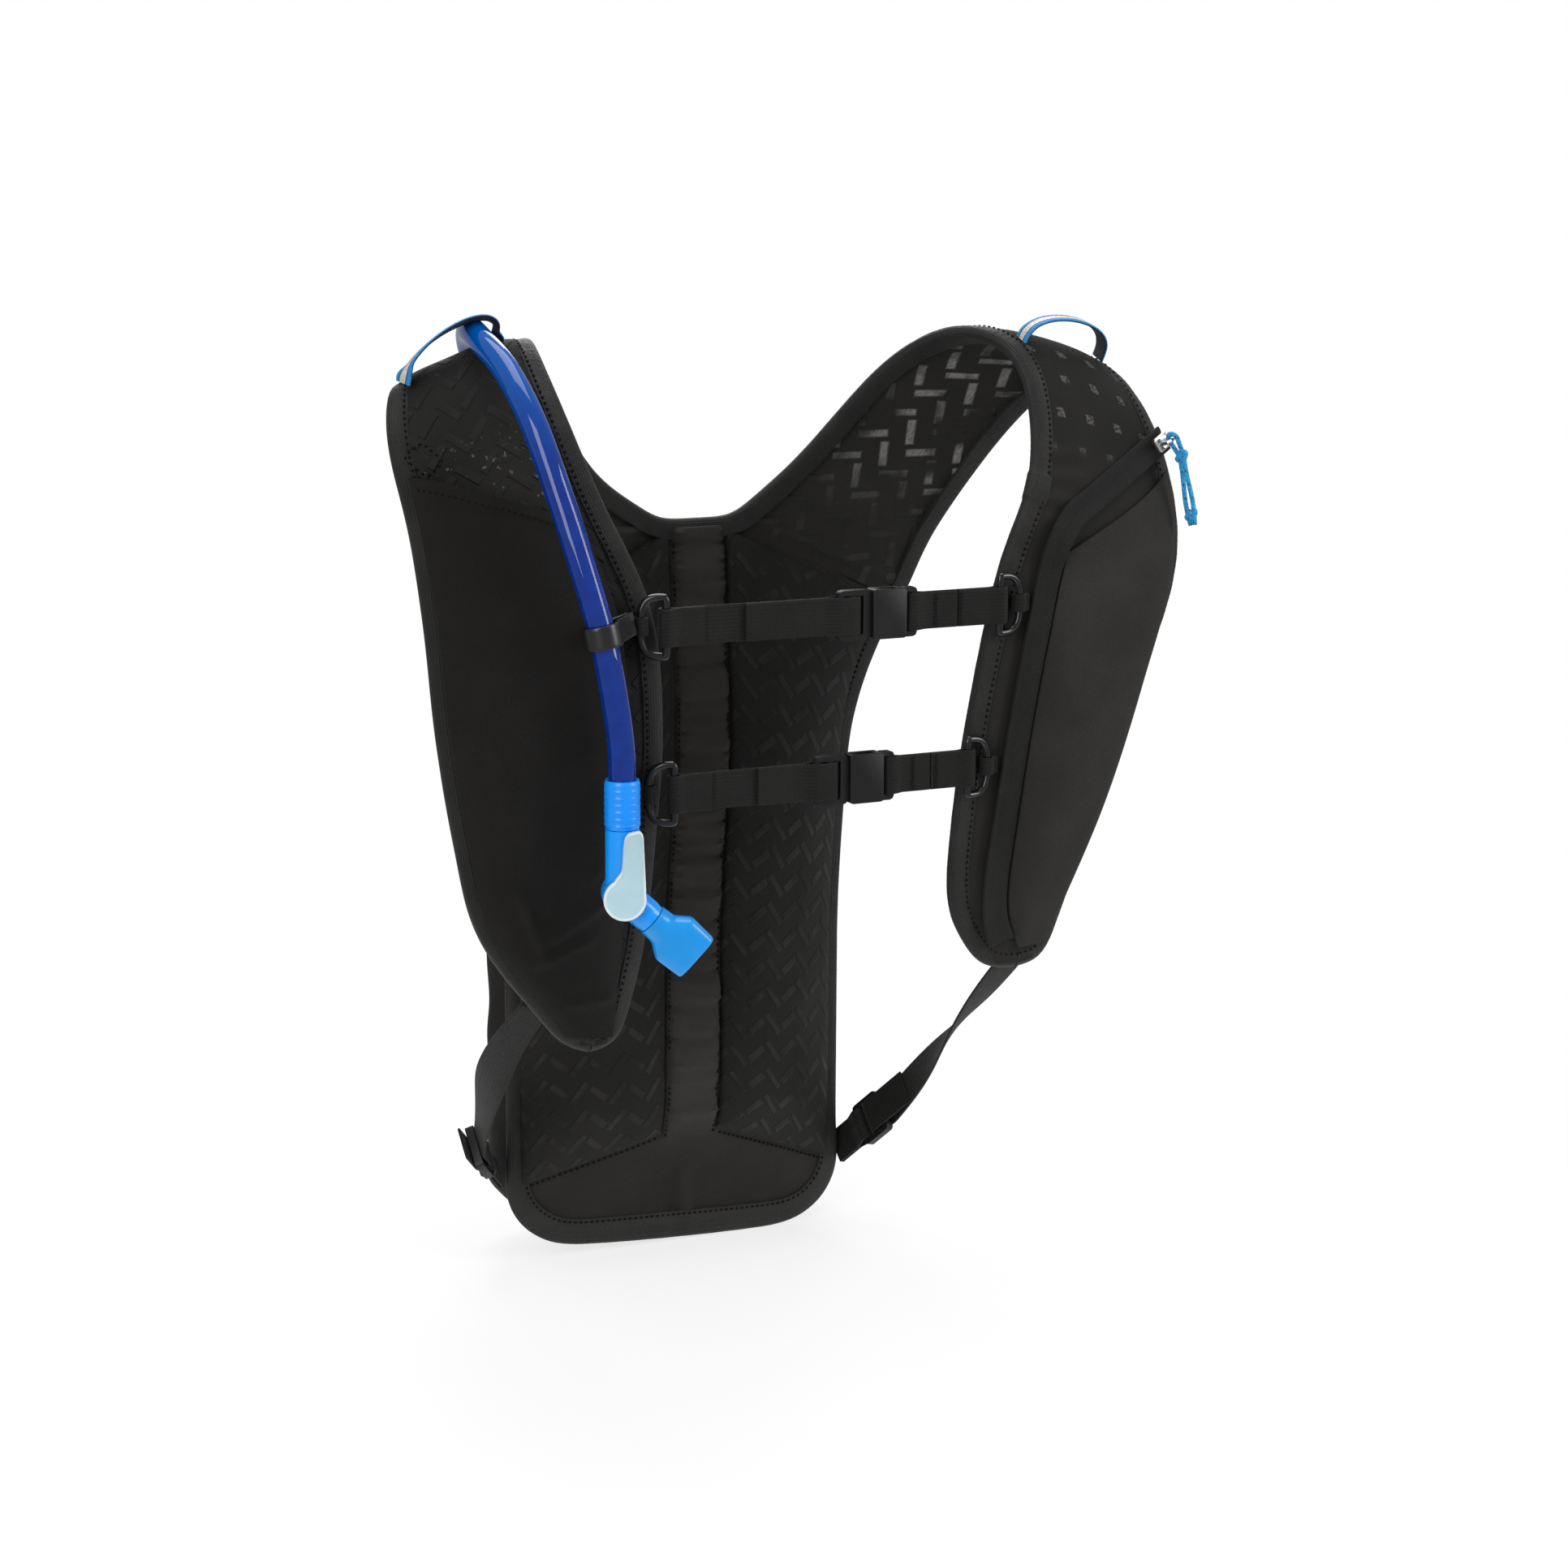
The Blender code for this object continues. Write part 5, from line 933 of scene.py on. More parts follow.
strap = {
    "pad": 7, "edge": 0.62, "crown": 2, "end": 10, "start": -0.05, "tip": {"left": 1.2, "right": 4.0},
    "left": [
        ((46, 61, -45), (111, 60, -73)), ((79, 40, -2), (131.5, 26, -24)), ((97, 8, 13), (152, 2, -2)),
        ((108, -22, 0), (164, -22, -20)), ((102, -44, -40), (172, -34, -56)), ((83, -52, -80), (170, -39, -88)),
        ((70, -54, -132), (155, -41, -128)), ((65, -50, -180), (139, -41, -174)),
        ((67, -44, -220), (121, -40, -218)), ((83, -40, -246), (111, -39, -245)),
    ],
    "right": [
        ((52, 61, -46), (113, 60, -73)), ((84.5, 40, -3), (134, 26, -24)), ((100, 8, 13), (155.5, 2, -2)),
        ((101, -20, -6), (163.5, -14, -21)), ((90, -36, -44), (158.5, -23, -56)),
        ((75, -50, -86), (155.5, -30, -94)),
        ((71, -52, -132), (154, -36, -132)), ((72, -47, -178), (148, -39, -176)),
        ((75, -42, -222), (138, -39, -214)), ((84, -40, -258), (107, -39, -256)),
    ],
}
yoke = ((panel["neckHalf"], panel["topDepth"] + 1, panel["neckHeight"]),
        (panel["armHalf"], panel["topDepth"] + 1, panel["armHeight"]))
strapEdges = {side: [np.array([pair[k] for pair in [yoke, *strap[side]]], float) for k in (0, 1)]
              for side in sides}


def strapFrame(side, t, s):
    # Point on the strap's middle surface, then the directions along, across and outwards; past the
    # last pair of edge points the strap closes to its tip in a half ellipse
    necks, arms = strapEdges[side]
    q = np.clip(t - strap["end"], 0, 1)
    s = 0.5 + (s - 0.5) * np.sqrt(1 - q**2)
    t = np.minimum(t, strap["end"])
    neck, arm = curveThrough(necks, t), curveThrough(arms, t)
    step = 0.05
    run = curveThrough(necks + arms, t + step) - curveThrough(necks + arms, t - step)
    across = unit(arm - neck)
    outwards = unit(np.cross(run, across))
    along = np.cross(across, outwards)
    s = np.asarray(s, float)[..., None]
    point = neck + (arm - neck) * s + outwards * strap["crown"] * (1 - (2 * s - 1) ** 2)
    point = point + along * (q * strap["tip"][side])[..., None]
    flip = vec(sides[side], 1, 1)
    return point * flip, along * flip, across * flip, outwards * flip


def strapHalf(s):
    return strap["pad"] / 2 * (strap["edge"] + (1 - strap["edge"]) * (1 - (2 * s - 1) ** 4))


def onStrap(side, t, s, lift):
    # Point at a height above the strap's outer face
    t, s, lift = np.broadcast_arrays(np.asarray(t, float), np.asarray(s, float), np.asarray(lift, float))
    point, _, _, outwards = strapFrame(side, t, s)
    return point + outwards * (strapHalf(s) + lift)[..., None]


def strapMap(side, t, s):
    # Distances on the cloth, in millimetres, from the middle of the yoke seam
    necks, arms = strapEdges[side]
    fine = np.linspace(0, strap["end"], 401)
    middle = curveThrough((necks + arms) / 2, fine)
    wide = np.linalg.norm(curveThrough(arms, t) - curveThrough(necks, t), axis=-1)
    return (s - 0.5) * wide, np.interp(t, fine, lengthsAlong(middle))


def makeStrap(side):
    # Foam strap: a flattened ring at each step, fuller in the middle than along its edges
    rows, around = 241, 73
    steps = np.append(np.linspace(strap["start"], strap["end"], rows),
                      strap["end"] + np.sin(np.linspace(0.2, 0.9, 5)))
    t, a = np.meshgrid(steps, np.linspace(0, tau, around), indexing="ij")
    c, d = -np.cos(a), np.sin(a)
    s = 0.5 + 0.5 * np.sign(c) * abs(c) ** 0.7
    face = np.sign(d) * abs(d) ** 0.35
    point, _, _, outwards = strapFrame(side, t, s)
    u, v = strapMap(side, t, s)
    ripple = unevenness(41 + sides[side], u, v, 34) * 0.6 * np.clip(1 - abs(2 * s - 1) ** 6, 0, 1)
    lift = strapHalf(s) * face + ripple * abs(face)
    # The yoke seam, folded over and sewn down
    welt = np.exp(-((v - 5.5) / 2.3) ** 4) * (1 - abs(2 * s - 1) ** 8)
    lift = lift - 1.5 * welt * (face < -0.5)
    if side == "left":
        join = strapMap(side, 5.15, 0.0)[1]
        for low, far, high in ((-9, -16, 1.0), (-3, -5, 1.3), (3, 6, 1.3), (9, 17, 1.0)):
            lift = lift + crease(u, v - join, (-38, low), (-12, far), 2.2, high) * (face > 0.5)
    flat = np.stack((u * np.sign(face + 1e-9), v), -1)
    points = point + outwards * lift[..., None]
    outer = (a[:-1, :-1] < np.pi - 0.01).ravel()
    shell = Shell().grid(points, flat, wrap=True, caps=True, finish=np.where(outer, 1, 0))
    made = shell.build(f"strap_pad_{side}", ["wing", "dots" if side == "left" else "outer"],
                       stands=[f"shoulder_strap_{side}"], slot="mesh_fabric")
    return made


strapPads = {side: makeStrap(side) for side in sides}
print("straps made")


# Binding tape round the hems

binding = {"reach": 2.6, "low": 5.4, "bow": 1.8, "cover": 5.7, "strap": 3.75, "panel": 2.7, "seam": 0.74}


def strapHem(side, edge, count=160):
    # Points on one edge of a strap, the directions away from the strap and outwards, and the tape's
    # reach past the edge and half thickness
    close = strap["end"] + np.sin(np.linspace(0.15, 1.65, 16).clip(0, tau / 4))
    t = np.append(np.linspace(0, strap["end"], count), close)
    point, _, _, outwards = strapFrame(side, t, np.full(len(t), float(edge)))
    ahead = unit(np.gradient(point, axis=0))
    away = unit(np.cross(outwards, ahead)) * sides[side] * (1 if edge else -1)
    return point, away, outwards, np.tile((binding["reach"], binding["strap"]), (len(t), 1))


def panelHem(count=150):
    # Down the panel's left side and round its corner to the middle of the bottom, where the tape reaches lower
    v = np.linspace(17.6 / 18, 0, count)
    x, z = panelPlace(np.ones_like(v), v)
    last = np.linspace(panelPlace(1.0, 0.0)[0], 0, 30)[1:]
    x, z = np.append(x, last), np.append(z, np.full(29, float(panel["bottom"])))
    ahead = unit(np.gradient(np.column_stack((x, z)), axis=0))
    point = np.column_stack((x, frontDepth(x, z) + panel["sheet"] / 2, z))
    away = np.column_stack((-ahead[:, 1], 0 * x, ahead[:, 0]))
    front = np.tile((0, -1.0, 0), (len(x), 1))
    low = ease((panel["bottom"] + 40 - z) / 30)
    reach = binding["reach"] + (binding["low"] - binding["reach"]) * low
    low = z < panel["bottom"] + panel["corner"]
    reach = reach + binding["bow"] * np.clip(1 - (x / panel["half"]) ** 2, 0, 1) * low
    return point, away, front, np.column_stack((reach, np.full(len(x), binding["panel"])))


def joinHems(hems):
    return [np.vstack([hem[k] for hem in hems]) for k in range(4)]


def backwards(hem):
    return [part[::-1] for part in hem]


def soften(parts, window, rounds):
    # Moving average along the path, which rounds the corners where two hems meet
    weights, pad = np.ones(window) / window, window // 2
    for _ in range(rounds):
        padded = [[np.pad(c, pad, mode="reflect", reflect_type="odd") for c in part.T] for part in parts]
        parts = [np.column_stack([np.convolve(c, weights, "valid") for c in part]) for part in padded]
    return parts


def bindingSection(path, size, seed, joins):
    # Tape folded round the edge: two lips on the faces, a round fold outside, puckered along the seam
    # and doubled where its ends are joined
    w = np.array((-1, -0.99, -0.86, -0.74, -0.6, -0.3, 0, 0.35, 0.65, 0.86, 0.97, 1.0))
    h = np.array((0.78, 0.97, 1.0, 0.955, 0.97, 0.89, 0.79, 0.69, 0.56, 0.38, 0.17, 0))
    w = np.concatenate((w, w[-2::-1], w[:1]))
    h = np.concatenate((h, -h[-2::-1], h[:1]))
    far = lengthsAlong(path)
    wave = 0.045 * unevenness(seed, far, 0 * far, 11, 6) + 0.025 * np.sin(far * tau / 2.7)
    doubled = sum((ease((far - a) / 1.2) * ease((b - far) / 1.2) for a, b in joins), 0 * far)
    reach, thick = size.T * (1 + 0.16 * doubled)
    swell = 1 + wave[:, None] * np.where(abs(w) < 0.98, 1, 0.3)
    cover = binding["cover"] * (1 + 0.1 * doubled)[:, None]
    x = np.where(w < 0, w * cover, w * reach[:, None]) * (1 + 0.1 * wave[:, None])
    return np.stack((x, h * thick[:, None] * swell), -1)


def makeBinding(name, hems, window, rounds, seed, node, joins=()):
    # Returns the line of the tape's seam on its outer face and the direction out of it
    parts = joinHems(hems)
    parts = soften(resample(parts[0], int(lengthsAlong(parts[0])[-1] / 1.1), *parts[1:]), window, rounds)
    path, away, face, size = parts
    ahead = unit(np.gradient(path, axis=0))
    away = unit(away - ahead * (away * ahead).sum(-1, keepdims=True))
    up = np.cross(ahead, away)
    near = [lengthsAlong(path)[np.linalg.norm(path - vec(*place), axis=1).argmin()] for place, _ in joins]
    spans = [(at - long / 2, at + long / 2) for at, (_, long) in zip(near, joins)]
    section = bindingSection(path, size, seed, spans)
    points = path[:, None] + away[:, None] * section[..., :1] + up[:, None] * section[..., 1:]
    shell = Shell().grid(points, wrap=True, caps=True)
    shell.build(name, ["tape"], stands=[node], slot="binding_tape", sharp=75)
    up = up * np.sign((up * face).sum(-1, keepdims=True))
    seam = path - away * binding["cover"] * binding["seam"] + up * size[:, 1:] * 0.96
    return seam, up


def mirrored(hem):
    flip = vec(-1, 1, 1)
    return [hem[0] * flip, hem[1] * flip, hem[2] * flip, hem[3]]


def swayed(hem):
    point = hem[0].copy()
    point[:, 2] = tilted(point[:, 0], point[:, 2])
    point[:, 0] += sway(point[:, 2])
    return [point, *hem[1:]]


neckSeam = makeBinding("neck_tape", [backwards(strapHem("right", 0)), strapHem("left", 0)],
                       13, 2, 51, "neck_binding", [((99, -46, -46), 13)])
panelRound = joinHems([panelHem(), backwards(mirrored(panelHem()))])
outerHems = [backwards(strapHem("left", 1)), swayed(panelRound), strapHem("right", 1)]
outerSeam = makeBinding("outer_tape", outerHems, 11, 3, 52, "outer_binding")
print("bindings made")


# Chest pockets

stretchPocket = {"inset": 0.14, "outer": 0.97, "top": 5.2, "slant": 0.75, "bottom": 9.98,
                 "room": 8, "sheet": 1.2}


def makeStretchPocket():
    # Stretch cloth over the chest: bellied between its seams, flat at its foot, wrinkled near the tip
    a, b = np.meshgrid(np.linspace(0, 1, 121), np.linspace(0, 1, 201))
    p = stretchPocket
    s = p["inset"] + (p["outer"] - p["inset"]) * a
    top = p["top"] - p["slant"] * a
    t = top + (p["bottom"] - top) * b
    u, v = strapMap("right", t, s)
    belly = p["room"] * (1 - (2 * a - 1) ** 4) * (1 - b**4)
    calm = np.clip(1 - (2 * a - 1) ** 6, 0, 1)
    folds = 0.7 * unevenness(61, u, v * 0.5, 48) * calm * (1 - b**3)
    tip = v.max()
    for start, end, wide, high in (((-22, -66), (14, -40), 3, 2.6), ((-14, -48), (20, -30), 2.6, 2.0),
                                   ((-26, -88), (-4, -64), 3, 1.8), ((10, -30), (20, -70), 3, 1.6),
                                   ((26, -150), (22, -95), 3.5, 1.6), ((-20, -20), (10, -14), 2.4, 1.4)):
        folds = folds + crease(u, v - tip, start, end, wide, high) * calm
    lip = 0.5 * ease((0.03 - b) / 0.006)
    lift = 0.7 + np.clip(belly + folds, 0, None)
    shell = Shell().slab(onStrap("right", t, s, lift), onStrap("right", t, s, lift + p["sheet"] + lip))
    made = shell.build("stretch_front", ["stretch"], stands=["stretch_pocket"], slot="black_fabric")
    return declareSheet(made, onStrap("right", t, s, lift))


zipPocket = {"top": (4.4, 1.0), "corner": (5.5, 0.2), "end": (9.6, 0.3), "foot": 9.75, "room": 13, "sheet": 1.2,
             "band": 11, "outer": 0.97, "lift": 4.4}


def zipShare(t):
    corner, end = zipPocket["corner"], zipPocket["end"]
    return corner[1] + (end[1] - corner[1]) * (t - corner[0]) / (end[0] - corner[0])


def strapWidth(side, t):
    necks, arms = strapEdges[side]
    return np.linalg.norm(curveThrough(arms, t) - curveThrough(necks, t), axis=-1)


def makeZipPocket():
    # Pouch between the zip band and the arm edge, bellied each way
    a, b = np.meshgrid(np.linspace(0, 1, 121), np.linspace(0, 1, 201))
    p = zipPocket
    cornerT = p["corner"][0] + 0.3
    slant = (p["top"][0] - p["corner"][0]) / (p["top"][1] - p["corner"][1])
    level = cornerT + (p["foot"] - cornerT) * b
    inner = zipShare(level) + (p["band"] / 2 + 1.4) / strapWidth("left", level)
    s = inner + (p["outer"] - inner) * a
    top = cornerT + slant * (p["outer"] - p["corner"][1]) * a
    t = top + (p["foot"] - top) * b
    u, v = strapMap("left", t, s)
    belly = p["room"] * (1 - (2 * a - 1) ** 4) * (1 - (2 * b - 1) ** 2)
    calm = np.clip(1 - (2 * a - 1) ** 6, 0, 1) * np.clip(1 - (2 * b - 1) ** 8, 0, 1)
    folds = 0.8 * unevenness(71, u, v * 0.45, 52) * calm
    lift = 0.7 + np.clip(belly + folds, 0, None)
    shell = Shell().slab(onStrap("left", t, s, lift), onStrap("left", t, s, lift + p["sheet"]))
    made = shell.build("zip_front", ["pocket"], stands=["zip_pocket"], slot="black_fabric")
    return declareSheet(made, onStrap("left", t, s, lift))


def zipLine():
    # The straight run of the zip, and the directions along it, across it and outwards
    top, corner = (onStrap("left", *zipPocket[k], zipPocket["lift"]) for k in ("top", "corner"))
    ahead = unit(corner - top)
    middle = (zipPocket["top"][0] + zipPocket["corner"][0]) / 2
    outwards = strapFrame("left", np.array(middle), np.array(0.55))[3]
    across = unit(np.cross(outwards, ahead))
    return top, corner, ahead, across, np.cross(ahead, across)


def makeZipBand():
    # Tape with two raised seams and a slit between them, carried along the zip's line
    top, corner, _, across, _ = zipLine()
    run = [top + (corner - top) * k for k in np.linspace(0, 0.92, 6)]
    t = np.linspace(zipPocket["corner"][0] + 0.5, zipPocket["end"][0], 9)
    below = onStrap("left", t, zipShare(t), 2.1)
    level = unit(onStrap("left", t, zipShare(t) + 0.05, 0) - onStrap("left", t, zipShare(t) - 0.05, 0))
    bend = onStrap("left", zipPocket["corner"][0] + 0.2, zipShare(zipPocket["corner"][0]), zipPocket["lift"])
    path = np.vstack((run, [bend], below))
    turn = np.vstack(([across] * 6, [unit(across + level[0])], level))
    path = curveThrough(path, np.linspace(0, len(path) - 1, 260))
    turn = curveThrough(turn, np.linspace(0, len(turn) - 1, 260))
    half = zipPocket["band"] / 2
    w = np.array((-1, -0.98, -0.8, -0.62, -0.5, -0.2, -0.1, 0.1, 0.2, 0.5, 0.62, 0.8, 0.98, 1)) * half
    h = np.array((0.1, 0.5, 0.65, 0.5, 0.2, 0.25, 0.0, 0.0, 0.25, 0.2, 0.5, 0.65, 0.5, 0.1))
    section = np.column_stack((np.concatenate((w, w[::-1], w[:1])), np.concatenate((h, -0.7 + 0 * h, h[:1]))))
    shell = Shell().tube(path, turn, section)
    return shell.build("zip_band", ["zipTape"], stands=["pocket_zip"], slot="webbing", sharp=60)


stretchFront, zipFront, zipBand = makeStretchPocket(), makeZipPocket(), makeZipBand()
print("pockets made")


# Webbing, rings and buckles

web = {"width": 15, "thick": 1.2, "layer": 0.75, "eye": 2.6, "sewn": 16, "lead": 5, "travel": 20, "past": 1.3,
       "meet": 8, "lap": 0.6}
sternum = {
    "upper": {"height": -92, "plane": -60.7, "leftBar": 76.8, "rightBar": -70.6,
              "plugBar": 9.6, "endBar": 4.2, "tail": 41, "socketBar": 37.0,
              "leftSeat": (86.7, -59.2, -91.9), "rightSeat": (-79.7, -56.6, -91.5)},
    "lower": {"height": -158, "plane": -60.1, "leftBar": 63.5, "rightBar": -67.0,
              "plugBar": 0.4, "endBar": -5.0, "tail": 26, "socketBar": 27.8,
              "leftSeat": (73.4, -58.6, -158.3), "rightSeat": (-76.1, -55.8, -158.2)},
}
ring = {"wire": 3.0, "reach": 10, "half": 11.6}


def turnArc(centre, radius, first, last, steps):
    a = np.radians(np.linspace(first, last, steps))
    return np.column_stack((centre[0] + radius * np.cos(a), centre[1] + radius * np.sin(a)))


def eyePath(x, radius):
    # Round a bar at the far end, from the front layer to the back layer
    return np.vstack(((x - web["lead"], -web["layer"]), turnArc((x, 0), radius, 235, 485, 24),
                      (x - web["lead"], web["layer"])))


def webPath(path, height, plane):
    path = np.asarray(path, float)
    return np.column_stack((path[:, 0], plane + path[:, 1], np.full(len(path), float(height))))


def webbing(name, path, across, body="harness", stands=(), width=None, thick=None, finish="web", step=1.5):
    # Flat band with soft edges carried along the path
    count = max(int(lengthsAlong(path)[-1] / step), 12)
    across = np.broadcast_to(np.asarray(across, float), path.shape)
    path, across = resample(path, count, across)
    shell = Shell().ribbon(path, across, width or web["width"], thick or web["thick"])
    return shell.build(name, [finish], body, stands, "webbing", sharp=80)


def makeSternum(name):
    place = sternum[name]
    height, plane = place["height"], place["plane"]
    flip = vec(-1, -1)
    barEye = np.hypot(2.4, 3.2) / 2 + 0.9
    middle = (place["socketBar"] + place["leftBar"]) / 2
    near = (eyePath(0, barEye) * flip) + vec(place["socketBar"], 0)
    loop = np.vstack(((middle + 0.3, -web["layer"]), eyePath(place["leftBar"], web["eye"]), near,
                      (middle - 0.3, -web["layer"])))
    webbing(f"{name}_web_left", webPath(loop, height, plane), (0, 0, 1), stands=[f"{name}_webbing_left"])
    plugEye = np.hypot(2.4, 3.6) / 2 + 0.9
    past, layer = place["endBar"] - web["past"], web["layer"]
    level = past - web["lead"]
    # Here the turn that rides on the plug meets the run that shortens as the plug comes out
    lead = past - web["meet"]
    held = np.vstack(((place["endBar"] - place["tail"], -layer), (level, -layer), (past, -plugEye),
                      turnArc((place["plugBar"], 0), plugEye, 270, 450, 16), (past, plugEye), (level, layer),
                      (lead, layer)))
    webbing(f"{name}_web_turn", webPath(held, height, plane), (0, 0, 1), f"{name}_plug")
    run = np.vstack(((lead + web["lap"], layer), (eyePath(0, web["eye"]) * flip) + vec(place["rightBar"], 0),
                     (place["rightBar"] + web["sewn"], -layer)))
    made = webbing(f"{name}_web_right", webPath(run, height, plane), (0, 0, 1),
                   stands=[f"{name}_webbing_right"])
    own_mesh(made)
    for side in sides:
        makeRing(name, side, vec(*place[f"{side}Seat"]), vec(place[f"{side}Bar"], plane, height))


def makeRing(name, side, seat, bar):
    # Rounded D: a straight bar for the webbing, bowed to its seat; superellipse powers of sine and cosine
    out = unit(seat - bar)
    a = np.radians(np.linspace(-90, 90, 72))
    reach = ring["reach"] * np.clip(np.cos(a), 0, 1) ** 0.6
    rise = ring["half"] * np.sign(a) * abs(np.sin(a)) ** 0.6
    bow = bar + reach[:, None] * out + rise[:, None] * vec(0, 0, 1)
    straight = bar + np.linspace(ring["half"], -ring["half"], 30)[1:-1, None] * vec(0, 0, 1)
    path = np.vstack((bow, straight))
    path = resample(np.vstack((path, path[:1])), 121)[0][:-1]
    for _ in range(3):
        path = (np.roll(path, 1, 0) + 2 * path + np.roll(path, -1, 0)) / 4
    ahead = unit(np.roll(path, -1, 0) - np.roll(path, 1, 0))
    flatSide = unit(np.cross(out, vec(0, 0, 1)))
    inward = np.cross(ahead, flatSide)
    section = roundSection(ring["wire"] / 2, 16)
    points = path[:, None] + flatSide * section[None, :, :1] + inward[:, None] * section[None, :, 1:]
    points = np.concatenate((points, points[:1]))
    shell = Shell()
    count = len(path)
    kept = points[:-1, :-1]
    number = np.arange(kept.shape[0] * kept.shape[1]).reshape(kept.shape[:2])
    right, down = np.roll(number, -1, 1), np.roll(number, -1, 0)
    quads = np.stack((number, right, np.roll(right, -1, 0), down), -1).reshape(-1, 4)
    flat = np.stack(np.meshgrid(np.arange(16) * 0.6, np.arange(count) * 0.5), -1).reshape(-1, 2)
    shell.add(kept, [quads], [flat[quads]], 0)
    shell.build(f"{name}_d_ring_{side}", ["ring"], stands=[f"{name}_ring_{side}"], slot="black_plastic")


for strapName in sternum:
    makeSternum(strapName)
print("sternum straps made")


# Ring tabs, side straps, hose loops and the hose clip

tab = {"width": 7, "thick": 1.2, "eye": 2.6, "foot": 5}


def stationAt(side, height, s=0.05):
    # The step along a strap at which its face reaches a height
    t = np.linspace(3, strap["end"], 1500)
    z = onStrap(side, t, np.full_like(t, s), 0)[:, 2]
    return np.interp(-height, -z, t)


def laid(path, origin, x, y):
    # A flat path of pairs set in space by two directions
    path = np.asarray(path, float)
    return origin + path[:, :1] * x + path[:, 1:] * y


def makeRingTab(name, side):
    # Folded tape that holds a ring: round the ring's bow and back to the strap
    seat = vec(*sternum[name][f"{side}Seat"])
    t = stationAt(side, seat[2])
    ahead = unit((onStrap(side, t, 0.13, 0) - onStrap(side, t, 0.05, 0)) * vec(1, 1, 0))
    outwards = np.cross(vec(0, 0, 1), ahead)
    outwards = outwards * np.sign(outwards @ strapFrame(side, np.array(t), np.array(0.05))[3])
    eye, back = tab["eye"], tab["eye"] - 2 * web["layer"]
    fold = np.vstack(((tab["foot"], -eye), (0, -eye), turnArc((0, 0), eye, 240, 60, 24), (3, -back),
                      (tab["foot"], -back)))
    webbing(f"{name}_tab_{side}", laid(fold, seat, ahead, outwards), (0, 0, 1),
            stands=[f"{name}_ring_tab_{side}"], width=tab["width"], thick=tab["thick"], step=0.7)


for strapName in sternum:
    for side in sides:
        makeRingTab(strapName, side)

sideStrap = {
    "rear": 13, "bar": 21, "endBar": 26.6, "eye": np.hypot(2.4, 3.6) / 2 + 0.9, "past": 2.4,
    "lead": 6, "leave": 14, "root": 6,
    "left": {"root": (78.1, 76, -357), "ahead": (0.382, -0.629, 0.676), "width": (-0.013, 0.728, 0.685),
             "front": (0.924, 0.271, -0.271), "seat": (96.8, -37.7, -234.8), "along": (0.055, 0.097, -0.994),
             "across": (0.997, 0.054, 0.060), "bow": (-4, 2, 4), "tail": 20},
    "right": {"root": (-92.6, 76, -347), "ahead": (-0.533, -0.587, 0.610), "width": (0.009, 0.717, 0.697),
              "front": (0.846, -0.377, 0.377), "seat": (-113, -36.5, -230.2), "along": (-0.135, 0.044, -0.990),
              "across": (-0.990, 0.042, 0.136), "bow": (-12, 5, 3), "tail": 7},
}


def makeSideStrap(side):
    # Tab through the lock's rear bar, then webbing round its front bar and up to the chest panel
    p = sideStrap
    root, ahead, width, front, seat, along, across, bow = (vec(*p[side][k]) for k in (
        "root", "ahead", "width", "front", "seat", "along", "across", "bow"))
    eye, layer = p["eye"], web["layer"]
    lead = p["rear"] - p["lead"]
    hold = np.vstack(((-p["root"], -layer), (lead, -layer), turnArc((p["rear"], 0), eye, 235, 485, 24),
                      (lead, layer), (-p["root"], layer)))
    webbing(f"lock_strap_{side}", laid(hold, root, ahead, front), width, stands=[f"lock_tab_{side}"], step=0.8)
    turned = np.vstack(((p["endBar"] + p[side]["tail"], -eye), (p["endBar"], -eye),
                        turnArc((p["bar"], 0), eye, 270, 90, 20), (p["endBar"] + p["past"], eye)))
    near = laid(turned, root, ahead, front)
    leaving = seat + along * p["leave"]
    run = leaving - near[-1]
    far = np.linalg.norm(run)
    bend = near[-1] + (0.3 * ahead + run / far) * far / 4 + bow * 0.1
    approach = leaving + (0.3 * along - run / far) * far / 4 + bow
    f = np.linspace(0, 1, 60)[1:, None]
    free = (near[-1] * (1 - f) ** 3 + 3 * bend * f * (1 - f) ** 2
            + 3 * approach * f**2 * (1 - f) + leaving * f**3)
    path = np.vstack((near, free, seat))
    lean = across * np.sign(across @ width)
    turn = np.vstack((np.tile(width, (len(near), 1)), width + (lean - width) * ease(f), lean))
    webbing(f"side_web_{side}", path, turn, stands=[f"side_strap_{side}"])


for side in sides:
    makeSideStrap(side)

hoseLoop = {
    "width": 10, "thick": 1.2, "seat": 0.9,
    "left": {"rise": 13.5, "arm": (3.42, 0.84), "neck": (3.6, 0.10), "lean": 1.2, "up": (0.25, -0.28, 0.93),
             "turn": ((0.1, 1, 0.2), (0.1, 1, 0.1))},
    "right": {"rise": 13.1, "arm": (3.3, 0.93), "neck": (3.02, 0.20), "lean": 0.85, "up": (0, -0.15, 1),
              "turn": ((0.08, 0.97, -0.2), (0.43, 0.88, -0.22))},
}


